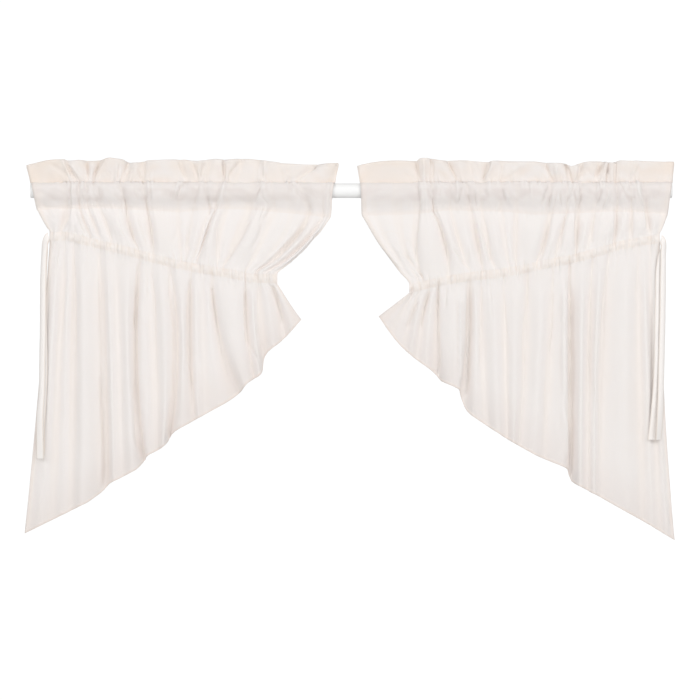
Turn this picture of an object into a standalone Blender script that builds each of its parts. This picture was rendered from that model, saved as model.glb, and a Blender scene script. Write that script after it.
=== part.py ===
"""A pair of swag and tail drapes on a curtain pole.

Each panel is one cut of cotton. It starts at the turned edge behind the pole, goes up over the pole to the
folded top of the heading ruffle, comes down the front round the pole, and hangs as a swag to a slanting
drawstring channel and as a long tapering tail below it. The drawstring is flat tape, and its two free ends
hang from the channel's outer end.

Frame: X runs along the pole, -Y faces the room and Z is up. The origin is on the pole's axis, at the middle
of its length. Sizes below are in millimetres. "out" is a distance from the middle along the pole, "height"
is above the pole's axis, and "forward" is towards the room.
"""

from typing import NamedTuple

import bmesh
import bpy
import numpy as np

MM = 0.001
LEFT = -1
RIGHT = 1

# Driving sizes
POLE_DIAMETER = 35.0
POLE_LENGTH = 1542.0
POLE_SIDES = 32
CLOTH_THICKNESS = 1.2
TAPE_WIDTH = 19.0
TAPE_THICKNESS = 1.0

# How the cloth sits round the pole
POLE_GAP = 0.4
LAYER_GAP = 3.6
HEADER_LOFT = 2.4
SEAM_RADIUS = POLE_DIAMETER / 2 + POLE_GAP + CLOTH_THICKNESS / 2
POCKET_RADIUS = SEAM_RADIUS + 1.6
POCKET_PUFF = 6.0
POCKET_ANGLES = (35.0, 75.0, 115.0)
FLAP_OVERLAP = 5.0

# How far the cloth stands forward of the pole's axis plane, level by level
POCKET_SEAM_FORWARD = 2.0
CHANNEL_FORWARD = 8.0
SWAG_BILLOW = 4.0
HEM_FORWARD = 5.0
CHANNEL_HALF_HEIGHT = 11.0
CHANNEL_PUFF = 2.5
CHANNEL_PUCKER = 0.8

# Fold heights: the share of a fold's width that it stands forward, and the most it may be
HEADER_FULLNESS = 0.16
HEADER_CREST = 9.0
SWAG_FULLNESS = 0.20
SWAG_CREST = 11.0
TAIL_FULLNESS = 0.26
TAIL_CREST = 13.0

# How much of a fold's height is left where the cloth is drawn up, and how far along a zone it is whole again
HEADER_SEAM_SHARE = 0.18
HEADER_LOFTED = 0.6
SWAG_SEAM_SHARE = 0.5
SWAG_CHANNEL_SHARE = 0.45
SWAG_OPENED = 0.4
SWAG_CLOSING = 0.6
TAIL_CHANNEL_SHARE = 0.3
TAIL_OPENED = 0.25
TAIL_PLEATED = 0.4
LEAN_OPENED = 0.3
LEAN_CREST = 0.6

# The least and the most share of a fold's width that its crease and its crest may take
CREASE_REACH = (0.12, 0.60)
CREST_PLACE = (0.28, 0.72)

# Mesh rows of each zone, as shares of the way down (or up) it
HEADER_ROWS = (0.30, 0.66, 0.93)
HEADER_BACK_ROWS = (0.93, 0.50)
SWAG_ROWS = (0.14, 0.36, 0.60, 0.82)
TAIL_ROWS = (0.07, 0.18, 0.34, 0.52, 0.70, 0.86, 1.0)
LEAST_COLUMN_STEP = 0.0105


class Finish(NamedTuple):
    """The linear colour, roughness and metallic value of a surface."""

    colour: tuple
    roughness: float
    metallic: float


POLE_PAINT = Finish((0.86, 0.86, 0.84), 0.35, 0.0)
LEFT_COTTON = Finish((0.86, 0.80, 0.74), 0.90, 0.0)
RIGHT_COTTON = Finish((0.87, 0.81, 0.75), 0.90, 0.0)
COTTON_TAPE = Finish((0.84, 0.78, 0.72), 0.85, 0.0)


class Mark(NamedTuple):
    """A point of an outline."""

    out: float
    height: float


class HeaderFold(NamedTuple):
    """A crease of the heading ruffle, at its top edge and at the seam on top of the pole."""

    top: float
    seam: float
    depth: float
    outer: float
    inner: float


class SwagFold(NamedTuple):
    """A crease of the pocket and swag: at the seam on the pole, the pocket's seam, midway, the channel."""

    top: float
    pocket: float
    middle: float
    channel: float
    depth: float
    outer: float
    inner: float


class TailFold(NamedTuple):
    """A crease of the tail, at the channel, midway and at the hem; lean pushes the fold beside it over."""

    channel: float
    middle: float
    hem: float
    depth: float
    hem_depth: float
    outer: float
    inner: float
    lean: float


class TapeMark(NamedTuple):
    """A point of a tape's centre line; slant and turn, in degrees, tip its width up and edge-on."""

    out: float
    height: float
    forward: float
    slant: float
    turn: float


class Panel(NamedTuple):
    """The outlines and folds of one panel, each table from its outer edge to its inner one."""

    side: int
    top_edge: tuple
    pocket_seam: tuple
    channel: tuple
    hem: tuple
    header_folds: tuple
    swag_folds: tuple
    tail_folds: tuple


# In the fold tables, depth is how far back a crease goes, and outer and inner are how far to each side of
# it the cloth has come halfway forward again. The first and last rows are the panel's side edges.

LEFT_PANEL = Panel(
    side=LEFT,
    top_edge=(
        Mark(781, 61), Mark(753, 69), Mark(723, 75), Mark(689, 75), Mark(680, 71), Mark(651, 74),
        Mark(621, 71), Mark(600, 75), Mark(584, 80), Mark(555, 76), Mark(541, 73), Mark(538, 66),
        Mark(507, 68), Mark(493, 73), Mark(399, 75), Mark(368, 70), Mark(354, 72), Mark(346, 76),
        Mark(327, 77), Mark(301, 73), Mark(267, 77), Mark(231, 75), Mark(195, 70), Mark(159, 68),
        Mark(116, 61), Mark(75, 65), Mark(33, 66),
    ),
    pocket_seam=(
        Mark(757, -42), Mark(603, -38), Mark(483, -43), Mark(411, -47), Mark(327, -40),
        Mark(243, -41), Mark(123, -52), Mark(49, -60),
    ),
    channel=(
        Mark(724, -110), Mark(681, -110), Mark(603, -130), Mark(543, -144), Mark(483, -161),
        Mark(423, -176), Mark(363, -188), Mark(303, -197), Mark(243, -210), Mark(178, -212),
    ),
    hem=(
        Mark(785, -824), Mark(693, -779), Mark(633, -749), Mark(597, -722), Mark(582, -704),
        Mark(543, -685), Mark(517, -671), Mark(501, -653), Mark(483, -635), Mark(453, -617),
        Mark(441, -604), Mark(435, -589), Mark(423, -578), Mark(375, -551), Mark(315, -518),
        Mark(285, -502), Mark(267, -485), Mark(249, -463), Mark(225, -446), Mark(215, -433),
        Mark(214, -407), Mark(205, -390), Mark(171, -365), Mark(141, -335), Mark(120, -310),
    ),
    header_folds=(
        HeaderFold(781, 771, 3, 20, 20),
        HeaderFold(685, 658, 8, 16, 10),
        HeaderFold(637, 632, 7, 10, 8),
        HeaderFold(603, 620, 11, 8, 6),
        HeaderFold(542, 557, 12, 4, 16),
        HeaderFold(500, 502, 8, 12, 8),
        HeaderFold(411, 394, 9, 14, 6),
        HeaderFold(385, 373, 7, 8, 8),
        HeaderFold(349, 359, 10, 8, 8),
        HeaderFold(306, 307, 8, 12, 6),
        HeaderFold(267, 288, 10, 8, 10),
        HeaderFold(217, 219, 6, 14, 12),
        HeaderFold(166, 154, 7, 14, 10),
        HeaderFold(80, 139, 10, 18, 12),
        HeaderFold(33, 39, 2, 16, 16),
    ),
    swag_folds=(
        SwagFold(771, 757, 742, 724, 4, 20, 20),
        SwagFold(675, 679, 685, 697, 14, 12, 6),
        SwagFold(654, 656, 643, 627, 9, 8, 8),
        SwagFold(637, 634, 620, 603, 6, 8, 8),
        SwagFold(622, 608, 586, 574, 6, 12, 12),
        SwagFold(557, 541, 531, 512, 14, 12, 6),
        SwagFold(502, 490, 481, 476, 14, 10, 7),
        SwagFold(394, 421, 416, 409, 8, 16, 12),
        SwagFold(370, 382, 389, 398, 8, 8, 6),
        SwagFold(359, 341, 357, 380, 8, 6, 6),
        SwagFold(309, 324, 351, 372, 15, 6, 8),
        SwagFold(290, 308, 324, 322, 8, 8, 10),
        SwagFold(219, 238, 267, 307, 12, 12, 8),
        SwagFold(195, 193, 221, 255, 8, 12, 10),
        SwagFold(149, 142, 169, 243, 6, 10, 8),
        SwagFold(138, 100, 147, 230, 16, 8, 8),
        SwagFold(63, 68, 116, 206, 9, 10, 8),
        SwagFold(39, 49, 100, 178, 4, 10, 10),
    ),
    tail_folds=(
        TailFold(724, 751, 785, 3, 2, 20, 20, 0),
        TailFold(689, 704, 718, 8, 2, 14, 12, 0),
        TailFold(666, 668, 672, 12, 4, 12, 10, 0),
        TailFold(604, 595, 590, 19, 26, 22, 11, 0),
        TailFold(565, 555, 549, 6, 5, 14, 14, 0),
        TailFold(507, 518, 497, 21, 22, 14, 6, 4),
        TailFold(478, 469, 464, 7, 4, 10, 10, 0),
        TailFold(435, 418, 437, 16, 19, 13, 9, 0),
        TailFold(385, 389, 377, 17, 8, 10, 7, 0),
        TailFold(356, 352, 350, 5, 3, 12, 12, 0),
        TailFold(334, 316, 267, 19, 26, 12, 8, 0),
        TailFold(254, 251, 236, 18, 7, 7, 8, 0),
        TailFold(223, 222, 212, 11, 18, 8, 12, -4),
        TailFold(196, 169, 161, 15, 16, 12, 9, 0),
        TailFold(178, 151, 120, 3, 3, 12, 12, 0),
    ),
)

RIGHT_PANEL = Panel(
    side=RIGHT,
    top_edge=(
        Mark(777, 69), Mark(717, 70), Mark(645, 73), Mark(632, 66), Mark(614, 70), Mark(597, 71),
        Mark(556, 70), Mark(542, 62), Mark(525, 59), Mark(515, 66), Mark(477, 66), Mark(441, 69),
        Mark(393, 69), Mark(357, 72), Mark(333, 72), Mark(321, 68), Mark(285, 74), Mark(237, 72),
        Mark(213, 73), Mark(184, 79), Mark(165, 78), Mark(158, 71), Mark(117, 72), Mark(69, 71),
        Mark(33, 65), Mark(13, 59),
    ),
    pocket_seam=(
        Mark(761, -55), Mark(717, -49), Mark(633, -46), Mark(525, -50), Mark(441, -54),
        Mark(381, -47), Mark(237, -43), Mark(146, -52), Mark(25, -55),
    ),
    channel=(
        Mark(741, -116), Mark(687, -124), Mark(645, -132), Mark(579, -152), Mark(525, -166),
        Mark(477, -174), Mark(417, -188), Mark(357, -199), Mark(297, -205), Mark(237, -214),
        Mark(189, -224), Mark(140, -235),
    ),
    hem=(
        Mark(777, -840), Mark(711, -800), Mark(657, -770), Mark(597, -736), Mark(537, -704),
        Mark(526, -695), Mark(524, -672), Mark(495, -659), Mark(441, -635), Mark(381, -601),
        Mark(333, -570), Mark(279, -534), Mark(266, -516), Mark(262, -482), Mark(216, -458),
        Mark(201, -438), Mark(153, -404), Mark(117, -373), Mark(87, -335), Mark(66, -302),
    ),
    header_folds=(
        HeaderFold(777, 773, 3, 20, 20),
        HeaderFold(637, 635, 9, 12, 6),
        HeaderFold(618, 613, 7, 6, 6),
        HeaderFold(605, 588, 10, 8, 12),
        HeaderFold(551, 546, 9, 8, 6),
        HeaderFold(513, 524, 10, 6, 8),
        HeaderFold(470, 479, 9, 10, 12),
        HeaderFold(359, 358, 5, 18, 14),
        HeaderFold(331, 314, 10, 6, 10),
        HeaderFold(287, 292, 8, 8, 10),
        HeaderFold(230, 256, 9, 14, 10),
        HeaderFold(190, 191, 8, 10, 7),
        HeaderFold(159, 163, 10, 7, 12),
        HeaderFold(13, 20, 3, 20, 20),
    ),
    swag_folds=(
        SwagFold(772, 761, 752, 741, 4, 20, 20),
        SwagFold(693, 707, 713, 717, 12, 8, 8),
        SwagFold(667, 673, 671, 669, 9, 8, 8),
        SwagFold(633, 638, 636, 631, 15, 8, 5),
        SwagFold(592, 587, 578, 568, 9, 10, 8),
        SwagFold(544, 543, 540, 540, 13, 8, 6),
        SwagFold(520, 518, 503, 491, 8, 8, 8),
        SwagFold(479, 476, 467, 447, 14, 7, 7),
        SwagFold(398, 398, 395, 396, 10, 14, 12),
        SwagFold(357, 358, 367, 379, 7, 10, 8),
        SwagFold(314, 311, 321, 345, 8, 10, 8),
        SwagFold(273, 285, 302, 316, 13, 9, 8),
        SwagFold(242, 235, 254, 283, 8, 10, 8),
        SwagFold(189, 197, 225, 235, 14, 7, 9),
        SwagFold(161, 165, 155, 172, 15, 7, 8),
        SwagFold(117, 112, 127, 162, 11, 8, 10),
        SwagFold(50, 50, 93, 150, 7, 12, 8),
        SwagFold(21, 25, 74, 140, 4, 12, 12),
    ),
    tail_folds=(
        TailFold(741, 751, 777, 3, 2, 20, 20, 0),
        TailFold(718, 729, 745, 6, 2, 10, 10, 0),
        TailFold(688, 693, 698, 8, 3, 10, 12, 0),
        TailFold(621, 602, 594, 12, 5, 16, 12, 0),
        TailFold(580, 571, 574, 11, 5, 12, 12, 0),
        TailFold(524, 526, 526, 22, 23, 18, 7, 4),
        TailFold(483, 475, 463, 11, 6, 12, 10, 0),
        TailFold(423, 417, 402, 13, 6, 16, 14, 0),
        TailFold(364, 371, 376, 6, 4, 12, 12, 0),
        TailFold(311, 316, 326, 10, 9, 14, 10, 0),
        TailFold(284, 279, 263, 22, 24, 14, 5, 5),
        TailFold(211, 209, 213, 20, 22, 9, 12, 0),
        TailFold(187, 169, 158, 12, 7, 8, 9, 0),
        TailFold(163, 141, 128, 9, 5, 9, 9, 0),
        TailFold(150, 120, 92, 13, 8, 8, 6, 0),
        TailFold(140, 103, 66, 3, 3, 10, 10, 0),
    ),
)

LEFT_TIE_FRONT = (
    TapeMark(726.6, -110, 8.7, 76, 0), TapeMark(733, -120, 14, 50, 25), TapeMark(738, -150, 16, 7, 54),
    TapeMark(740, -200, 17, 2, 60), TapeMark(741, -262, 17, 0, 60), TapeMark(741, -330, 18, 0, 57),
    TapeMark(742, -410, 21, 0, 54), TapeMark(743, -480, 22, 0, 54), TapeMark(747, -550, 23, 3, 46),
    TapeMark(745, -644, 24, 0, 26),
)
LEFT_TIE_BACK = (
    TapeMark(726.65, -112, 6.5, 76, 0), TapeMark(733.5, -126, 8, 43, 22), TapeMark(737, -152, 9, 8, 48),
    TapeMark(739, -190, 10, 4, 56), TapeMark(740, -240, 10, 2, 59), TapeMark(740, -300, 11, 2, 57),
    TapeMark(738, -355, 15, 2, 44), TapeMark(737, -420, 17, 0, 36), TapeMark(739, -490, 18, 0, 42),
    TapeMark(743, -560, 18.5, 2, 42), TapeMark(743, -632, 18.5, 0, 34),
)
RIGHT_TIE_FRONT = (
    TapeMark(743.6, -116, 8.7, 76, 0), TapeMark(749, -127, 14, 48, 25), TapeMark(750, -160, 17, 6, 54),
    TapeMark(749, -220, 18, 2, 60), TapeMark(748, -290, 19, 0, 60), TapeMark(746, -370, 21.5, 0, 58),
    TapeMark(744, -440, 23, 0, 56), TapeMark(742, -515, 23.5, 3, 58), TapeMark(736, -599, 23, 0, 60),
)
RIGHT_TIE_BACK = (
    TapeMark(743.63, -118, 6.5, 76, 0), TapeMark(748.5, -132, 8, 42, 22), TapeMark(744, -158, 11, 8, 46),
    TapeMark(739, -198, 13.5, 3, 48), TapeMark(738, -250, 15, 2, 50), TapeMark(736, -330, 17.5, 0, 42),
    TapeMark(735, -400, 20, 0, 36), TapeMark(732, -470, 20, 0, 32), TapeMark(727, -540, 18.5, -2, 24),
    TapeMark(720.5, -599, 17.5, 0, 6),
)
TAPE_SECTION_STEP = 20.0


def smooth(share):
    """Ease from 0 to 1."""
    held = np.clip(share, 0.0, 1.0)
    return held * held * (3.0 - 2.0 * held)


def column(table, name):
    """One named column of a table."""
    return np.array([getattr(row, name) for row in table], dtype=float)


def height_on(line, out):
    """The height of an outline at distances out from the middle."""
    outs = column(line, "out")
    return np.interp(-out, -outs, column(line, "height"))


def bend(upper, middle, lower, down):
    """The curve through three values at the top, the middle and the foot of a zone."""
    return (
        upper * (1 - down) * (1 - 2 * down)
        + middle * 4 * down * (1 - down)
        + lower * down * (2 * down - 1)
    )


def half_way_power(reach, span):
    """The exponent that brings an ease to its half way point at a given reach of a span."""
    return np.log(0.5) / np.log(np.clip(reach / span, *CREASE_REACH))


def crest_share(folds, index):
    """Where the fold between a crease and the next one has its crest."""
    reach = folds[index].inner
    return float(np.clip(reach / (reach + folds[index + 1].outer), *CREST_PLACE))


def relief(across, shares, folds, depths, width, fullness, highest):
    """How far the folds stand forward of their zone's plane, across the cloth."""
    forward = np.zeros_like(across)
    for index in range(len(folds) - 1):
        start, end = shares[index], shares[index + 1]
        span = (end - start) * width
        top = start + (end - start) * crest_share(folds, index)
        crest = min(fullness * span, highest)
        for crease, reach, depth in (
            (start, folds[index].inner, depths[index]),
            (end, folds[index + 1].outer, depths[index + 1]),
        ):
            flank = (across - crease) / (top - crease)
            here = (flank >= 0.0) & (flank <= 1.0)
            power = half_way_power(reach, abs(top - crease) * width)
            rise = smooth(np.clip(flank, 0.0, 1.0) ** power)
            forward = np.where(here, -depth + (crest + depth) * rise, forward)
    return forward


def beside(out, forward, gap):
    """A line that runs beside another across the cloth, a gap further forward square to it."""
    along, towards = np.gradient(out), np.gradient(forward)
    length = np.hypot(along, towards)
    return out + gap * towards / length, forward - gap * along / length


def lean_shift(across, shares, folds):
    """How far the pleats lean outwards over the crease beside them."""
    shift = np.zeros_like(across)
    for index, fold in enumerate(folds):
        if not fold.lean:
            continue
        step = 1 if fold.lean > 0 else -1
        near = min(index, index + step)
        start, end = shares[near], shares[near + 1]
        top = start + (end - start) * crest_share(folds, near)
        rise = (across - shares[index]) / (top - shares[index])
        fall = (shares[index + step] - across) / (shares[index + step] - top)
        shift += fold.lean * smooth(rise / LEAN_CREST) * smooth(fall) * (rise > 0) * (fall > 0)
    return shift


class Drape:
    """The surface of one panel, read row by row at shares across the cloth."""

    def __init__(self, panel):
        self.panel = panel
        channel = column(panel.tail_folds, "channel")
        self.edge, self.width = channel[0], channel[0] - channel[-1]
        self.tail_shares = (self.edge - channel) / self.width
        self.swag_shares = (self.edge - column(panel.swag_folds, "channel")) / self.width
        seams = -column(panel.swag_folds, "top")
        self.header_shares = np.interp(-column(panel.header_folds, "seam"), seams, self.swag_shares)

    def columns(self):
        """The shares across the cloth where the mesh has a column: every crease and every crest."""
        shares = [0.0, 1.0]
        trains = ((self.tail_shares, self.panel.tail_folds), (self.swag_shares, self.panel.swag_folds))
        for creases, folds in trains:
            crests = [
                creases[index] + (creases[index + 1] - creases[index]) * crest_share(folds, index)
                for index in range(len(folds) - 1)
            ]
            for share in list(creases) + crests:
                if min(abs(share - other) for other in shares) > LEAST_COLUMN_STEP:
                    shares.append(share)
        return np.array(sorted(shares))

    def seam_out(self, across):
        """Distances out on the seam on top of the pole."""
        return np.interp(across, self.swag_shares, column(self.panel.swag_folds, "top"))

    def header_relief(self, across):
        """How far the heading's folds stand forward at its top edge."""
        folds = self.panel.header_folds
        width = abs(folds[0].seam - folds[-1].seam)
        depths = column(folds, "depth")
        return relief(across, self.header_shares, folds, depths, width, HEADER_FULLNESS, HEADER_CREST)

    def top_out(self, across):
        """Distances out on the heading's top edge, which fans out from the seam."""
        folds = self.panel.header_folds
        return -np.interp(-self.seam_out(across), -column(folds, "seam"), -column(folds, "top"))

    def header_row(self, across, up, layer):
        """A row of the heading: up runs from the seam to the top edge, layer is 1 in front, -1 behind."""
        share = HEADER_SEAM_SHARE + (1 - HEADER_SEAM_SHARE) * smooth(up)
        middle = self.seam_out(across) + (self.top_out(across) - self.seam_out(across)) * up
        gap = LAYER_GAP + HEADER_LOFT * smooth(up / HEADER_LOFTED)
        out, forward = beside(middle, self.header_relief(across) * share, layer * gap / 2)
        seam = self.seam_height(across, layer)
        height = seam + (height_on(self.panel.top_edge, self.top_out(across)) - seam) * up
        return out, forward, height

    def seam_height(self, across, layer):
        """The seam's height, which follows the top of the pole."""
        forward = self.header_relief(across) * HEADER_SEAM_SHARE + layer * LAYER_GAP / 2
        return np.sqrt(SEAM_RADIUS**2 - forward**2)

    def swag_relief(self, across):
        """How far the swag's folds stand forward where they are deepest."""
        folds = self.panel.swag_folds
        width = abs(folds[0].middle - folds[-1].middle)
        depths = column(folds, "depth")
        return relief(across, self.swag_shares, folds, depths, width, SWAG_FULLNESS, SWAG_CREST)

    def puff(self, across):
        """How far the pocket bulges off the pole: nothing in a crease, all of it on a crest."""
        swell = self.swag_relief(across)
        return POCKET_PUFF * np.clip((swell + SWAG_CREST) / (2 * SWAG_CREST), 0.0, 1.0)

    def pocket_out(self, across, down):
        """Distances out in the pocket, from the seam on the pole to the pocket's own seam."""
        pocket = np.interp(across, self.swag_shares, column(self.panel.swag_folds, "pocket"))
        return self.seam_out(across) + (pocket - self.seam_out(across)) * down

    def pocket_row(self, across, degrees, layer):
        """A row of the pocket at an angle round the pole from its top."""
        angle = np.radians(degrees)
        radius = POCKET_RADIUS + self.puff(across) * np.sin(angle)
        out = self.pocket_out(across, degrees / 180.0)
        return out, layer * radius * np.sin(angle), radius * np.cos(angle)

    def swag_row(self, across, down):
        """A row of the swag: down runs from the pocket's seam to the channel."""
        folds = self.panel.swag_folds
        lines = bend(column(folds, "pocket"), column(folds, "middle"), column(folds, "channel"), down)
        out = np.interp(across, self.swag_shares, lines)
        pocket = height_on(self.panel.pocket_seam, self.pocket_out(across, 1.0))
        channel = self.channel_height(across) + CHANNEL_HALF_HEIGHT
        height = pocket + (channel - pocket) * down
        opening = SWAG_SEAM_SHARE + (1 - SWAG_SEAM_SHARE) * smooth(down / SWAG_OPENED)
        closing = (1 - SWAG_CHANNEL_SHARE) * smooth((down - SWAG_CLOSING) / (1 - SWAG_CLOSING))
        plane = POCKET_SEAM_FORWARD + (CHANNEL_FORWARD - POCKET_SEAM_FORWARD) * down
        plane = plane + SWAG_BILLOW * np.sin(np.pi * down)
        return out, plane + self.swag_relief(across) * (opening - closing), height

    def flap_edge(self, across):
        """The turned edge behind the pocket's seam."""
        out, forward, height = self.swag_row(across, 0.0)
        out, forward = beside(out, forward, -LAYER_GAP)
        return out, forward, height - FLAP_OVERLAP

    def channel_out(self, across):
        """Distances out along the channel."""
        return self.edge - across * self.width

    def channel_height(self, across):
        """Heights of the channel's middle line."""
        return height_on(self.panel.channel, self.channel_out(across))

    def channel_row(self, across):
        """The middle of the channel, puckered by its drawstring."""
        above = self.swag_row(across, 1.0)[1]
        below = self.tail_row(across, 0.0)[1]
        pucker = CHANNEL_PUCKER * np.where(np.arange(len(across)) % 2, 1.0, -1.0)
        forward = (above + below) / 2 + CHANNEL_PUFF + pucker
        return self.channel_out(across), forward, self.channel_height(across)

    def tail_relief(self, across, down):
        """How far the tail's folds stand forward at a level of the tail."""
        folds = self.panel.tail_folds
        width = abs(folds[0].middle - folds[-1].middle)
        depth, hem_depth = column(folds, "depth"), column(folds, "hem_depth")
        depths = depth + (hem_depth - depth) * smooth((down - TAIL_PLEATED) / (1 - TAIL_PLEATED))
        return relief(across, self.tail_shares, folds, depths, width, TAIL_FULLNESS, TAIL_CREST)

    def tail_row(self, across, down):
        """A row of the tail: down runs from the channel to the hem."""
        folds = self.panel.tail_folds
        lines = bend(column(folds, "channel"), column(folds, "middle"), column(folds, "hem"), down)
        plain = np.interp(across, self.tail_shares, lines)
        out = plain + lean_shift(across, self.tail_shares, folds) * smooth(down / LEAN_OPENED)
        hems = np.interp(across, self.tail_shares, column(folds, "hem"))
        channel = self.channel_height(across) - CHANNEL_HALF_HEIGHT
        height = channel + (height_on(self.panel.hem, hems) - channel) * down
        share = TAIL_CHANNEL_SHARE + (1 - TAIL_CHANNEL_SHARE) * smooth(down / TAIL_OPENED)
        plane = CHANNEL_FORWARD + (HEM_FORWARD - CHANNEL_FORWARD) * down
        return out, plane + self.tail_relief(across, down) * share, height

    def rows(self, across):
        """Every row of the panel, from the turned edge behind the pole to the hem."""
        yield self.flap_edge(across)
        for degrees in reversed(POCKET_ANGLES):
            yield self.pocket_row(across, degrees, -1)
        yield self.header_row(across, 0.0, -1)
        for up in reversed(HEADER_BACK_ROWS):
            yield self.header_row(across, up, -1)
        yield self.header_row(across, 1.0, 0)
        for up in reversed(HEADER_ROWS):
            yield self.header_row(across, up, 1)
        yield self.header_row(across, 0.0, 1)
        for degrees in POCKET_ANGLES:
            yield self.pocket_row(across, degrees, 1)
        yield self.swag_row(across, 0.0)
        for down in SWAG_ROWS:
            yield self.swag_row(across, down)
        yield self.swag_row(across, 1.0)
        yield self.channel_row(across)
        yield self.tail_row(across, 0.0)
        for down in TAIL_ROWS:
            yield self.tail_row(across, down)


def world(side, out, forward, height):
    """A point of the world, in metres, from a panel's own measures."""
    return (side * out * MM, -forward * MM, height * MM)


def clear_scene():
    """Remove whatever the file holds."""
    for existing in list(bpy.data.objects):
        bpy.data.objects.remove(existing, do_unlink=True)


def make_material(name, finish):
    """A plain material of a finish."""
    material = bpy.data.materials.new(name)
    material.use_nodes = True
    shader = material.node_tree.nodes["Principled BSDF"]
    shader.inputs["Base Color"].default_value = (*finish.colour, 1.0)
    shader.inputs["Roughness"].default_value = finish.roughness
    shader.inputs["Metallic"].default_value = finish.metallic
    return material


def add_object(name, mesh, collection, material):
    """Link a mesh as a named object with its own finish."""
    obj = bpy.data.objects.new(name, mesh)
    collection.objects.link(obj)
    mesh.materials.append(material)
    return obj


def loft(name, sections):
    """An open surface through sections with the same number of points each."""
    shape = bmesh.new()
    grid = [[shape.verts.new(point) for point in section] for section in sections]
    for upper, lower in zip(grid, grid[1:]):
        for index in range(len(upper) - 1):
            shape.faces.new((upper[index], upper[index + 1], lower[index + 1], lower[index]))
    mesh = bpy.data.meshes.new(name)
    shape.to_mesh(mesh)
    shape.free()
    return mesh


def thicken(obj, thickness):
    """Give a sheet its thickness, half to each side."""
    wall = obj.modifiers.new("Thickness", "SOLIDIFY")
    wall.thickness = thickness * MM
    wall.offset = 0.0


def add_panel(name, panel, collection, material):
    """One panel of cloth, from behind the pole to its hem."""
    drape = Drape(panel)
    across = drape.columns()
    sections = [
        [world(panel.side, *point) for point in zip(out, forward, height)]
        for out, forward, height in drape.rows(across)
    ]
    obj = add_object(name, loft(name, sections), collection, material)
    thicken(obj, CLOTH_THICKNESS)
    return obj


def tape_sections(side, marks):
    """The two edges of a tape at even steps along a smooth curve through its marks."""
    centre = np.array([(mark.out, mark.height, mark.forward) for mark in marks])
    tips = np.radians([(mark.slant, mark.turn) for mark in marks])
    length = float(np.sum(np.linalg.norm(np.diff(centre, axis=0), axis=1)))
    steps = int(length / TAPE_SECTION_STEP)
    sections = []
    for step in range(steps + 1):
        place = step / steps * (len(marks) - 1)
        out, height, forward = curve_point(centre, place)
        slant, turn = curve_point(tips, place)
        reach = TAPE_WIDTH / 2
        across = reach * np.cos(slant) * np.cos(turn)
        rise = reach * np.sin(slant) * np.cos(turn)
        away = reach * np.sin(turn)
        sections.append([
            world(side, out + across, forward - away, height + rise),
            world(side, out - across, forward + away, height - rise),
        ])
    return sections


def curve_point(points, place):
    """A point of the Catmull-Rom curve through a list of points."""
    index = min(int(place), len(points) - 2)
    share = place - index
    before = points[max(index - 1, 0)]
    start, end = points[index], points[index + 1]
    after = points[min(index + 2, len(points) - 1)]
    return 0.5 * (
        2 * start
        + (end - before) * share
        + (2 * before - 5 * start + 4 * end - after) * share**2
        + (3 * start - before - 3 * end + after) * share**3
    )


def add_tape(name, side, marks, collection, material):
    """One free end of a drawstring."""
    obj = add_object(name, loft(name, tape_sections(side, marks)), collection, material)
    thicken(obj, TAPE_THICKNESS)
    return obj


def add_pole(collection, material):
    """The plain round pole, its axis along X."""
    bpy.ops.mesh.primitive_cylinder_add(
        vertices=POLE_SIDES,
        radius=POLE_DIAMETER / 2 * MM,
        depth=POLE_LENGTH * MM,
        rotation=(0.0, np.pi / 2, 0.0),
    )
    pole = bpy.context.object
    pole.name = "curtain_pole"
    for owner in list(pole.users_collection):
        owner.objects.unlink(pole)
    collection.objects.link(pole)
    pole.data.materials.append(material)
    pole.data.shade_smooth()
    pole.data.set_sharp_from_angle(angle=np.radians(40.0))
    return pole


def main():
    """Build the drapes."""
    clear_scene()
    collection = bpy.data.collections.new("swag_and_tail_drapes")
    bpy.context.scene.collection.children.link(collection)

    add_pole(collection, make_material("painted_pole", POLE_PAINT))
    add_panel("left_swag", LEFT_PANEL, collection, make_material("left_cotton", LEFT_COTTON))
    add_panel("right_swag", RIGHT_PANEL, collection, make_material("right_cotton", RIGHT_COTTON))

    tape = make_material("drawstring_tape", COTTON_TAPE)
    add_tape("left_tie_front", LEFT, LEFT_TIE_FRONT, collection, tape)
    add_tape("left_tie_back", LEFT, LEFT_TIE_BACK, collection, tape)
    add_tape("right_tie_front", RIGHT, RIGHT_TIE_FRONT, collection, tape)
    add_tape("right_tie_back", RIGHT, RIGHT_TIE_BACK, collection, tape)


main()
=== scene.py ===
"""A pair of cream cotton swag and tail drapes, gathered on a white pole.

Sizes are in millimetres, as on a maker's cutting sheet, and become metres where a mesh is made. "out" is a
distance along the pole from its middle, "height" is above the pole's axis and "forward" is towards the room.
"""

import logging
from dataclasses import dataclass, field
from enum import Enum
from typing import Callable, Iterator, NamedTuple, Sequence

import bpy
import numpy as np
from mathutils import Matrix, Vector


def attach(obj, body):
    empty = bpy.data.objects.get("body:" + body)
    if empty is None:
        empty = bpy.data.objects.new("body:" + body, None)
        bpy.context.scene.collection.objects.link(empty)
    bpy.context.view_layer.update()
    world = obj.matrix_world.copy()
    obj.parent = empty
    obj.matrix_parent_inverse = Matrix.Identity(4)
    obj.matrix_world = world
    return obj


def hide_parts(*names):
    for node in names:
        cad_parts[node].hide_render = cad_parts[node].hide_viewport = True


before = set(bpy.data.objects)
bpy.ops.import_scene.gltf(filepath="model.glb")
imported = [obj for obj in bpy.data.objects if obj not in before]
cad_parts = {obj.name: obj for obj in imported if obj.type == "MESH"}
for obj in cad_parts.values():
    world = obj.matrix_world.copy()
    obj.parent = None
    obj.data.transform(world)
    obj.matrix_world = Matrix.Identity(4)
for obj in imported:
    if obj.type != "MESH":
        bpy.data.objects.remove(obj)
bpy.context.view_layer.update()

log = logging.getLogger("swag_and_tail_drapes")

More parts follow.
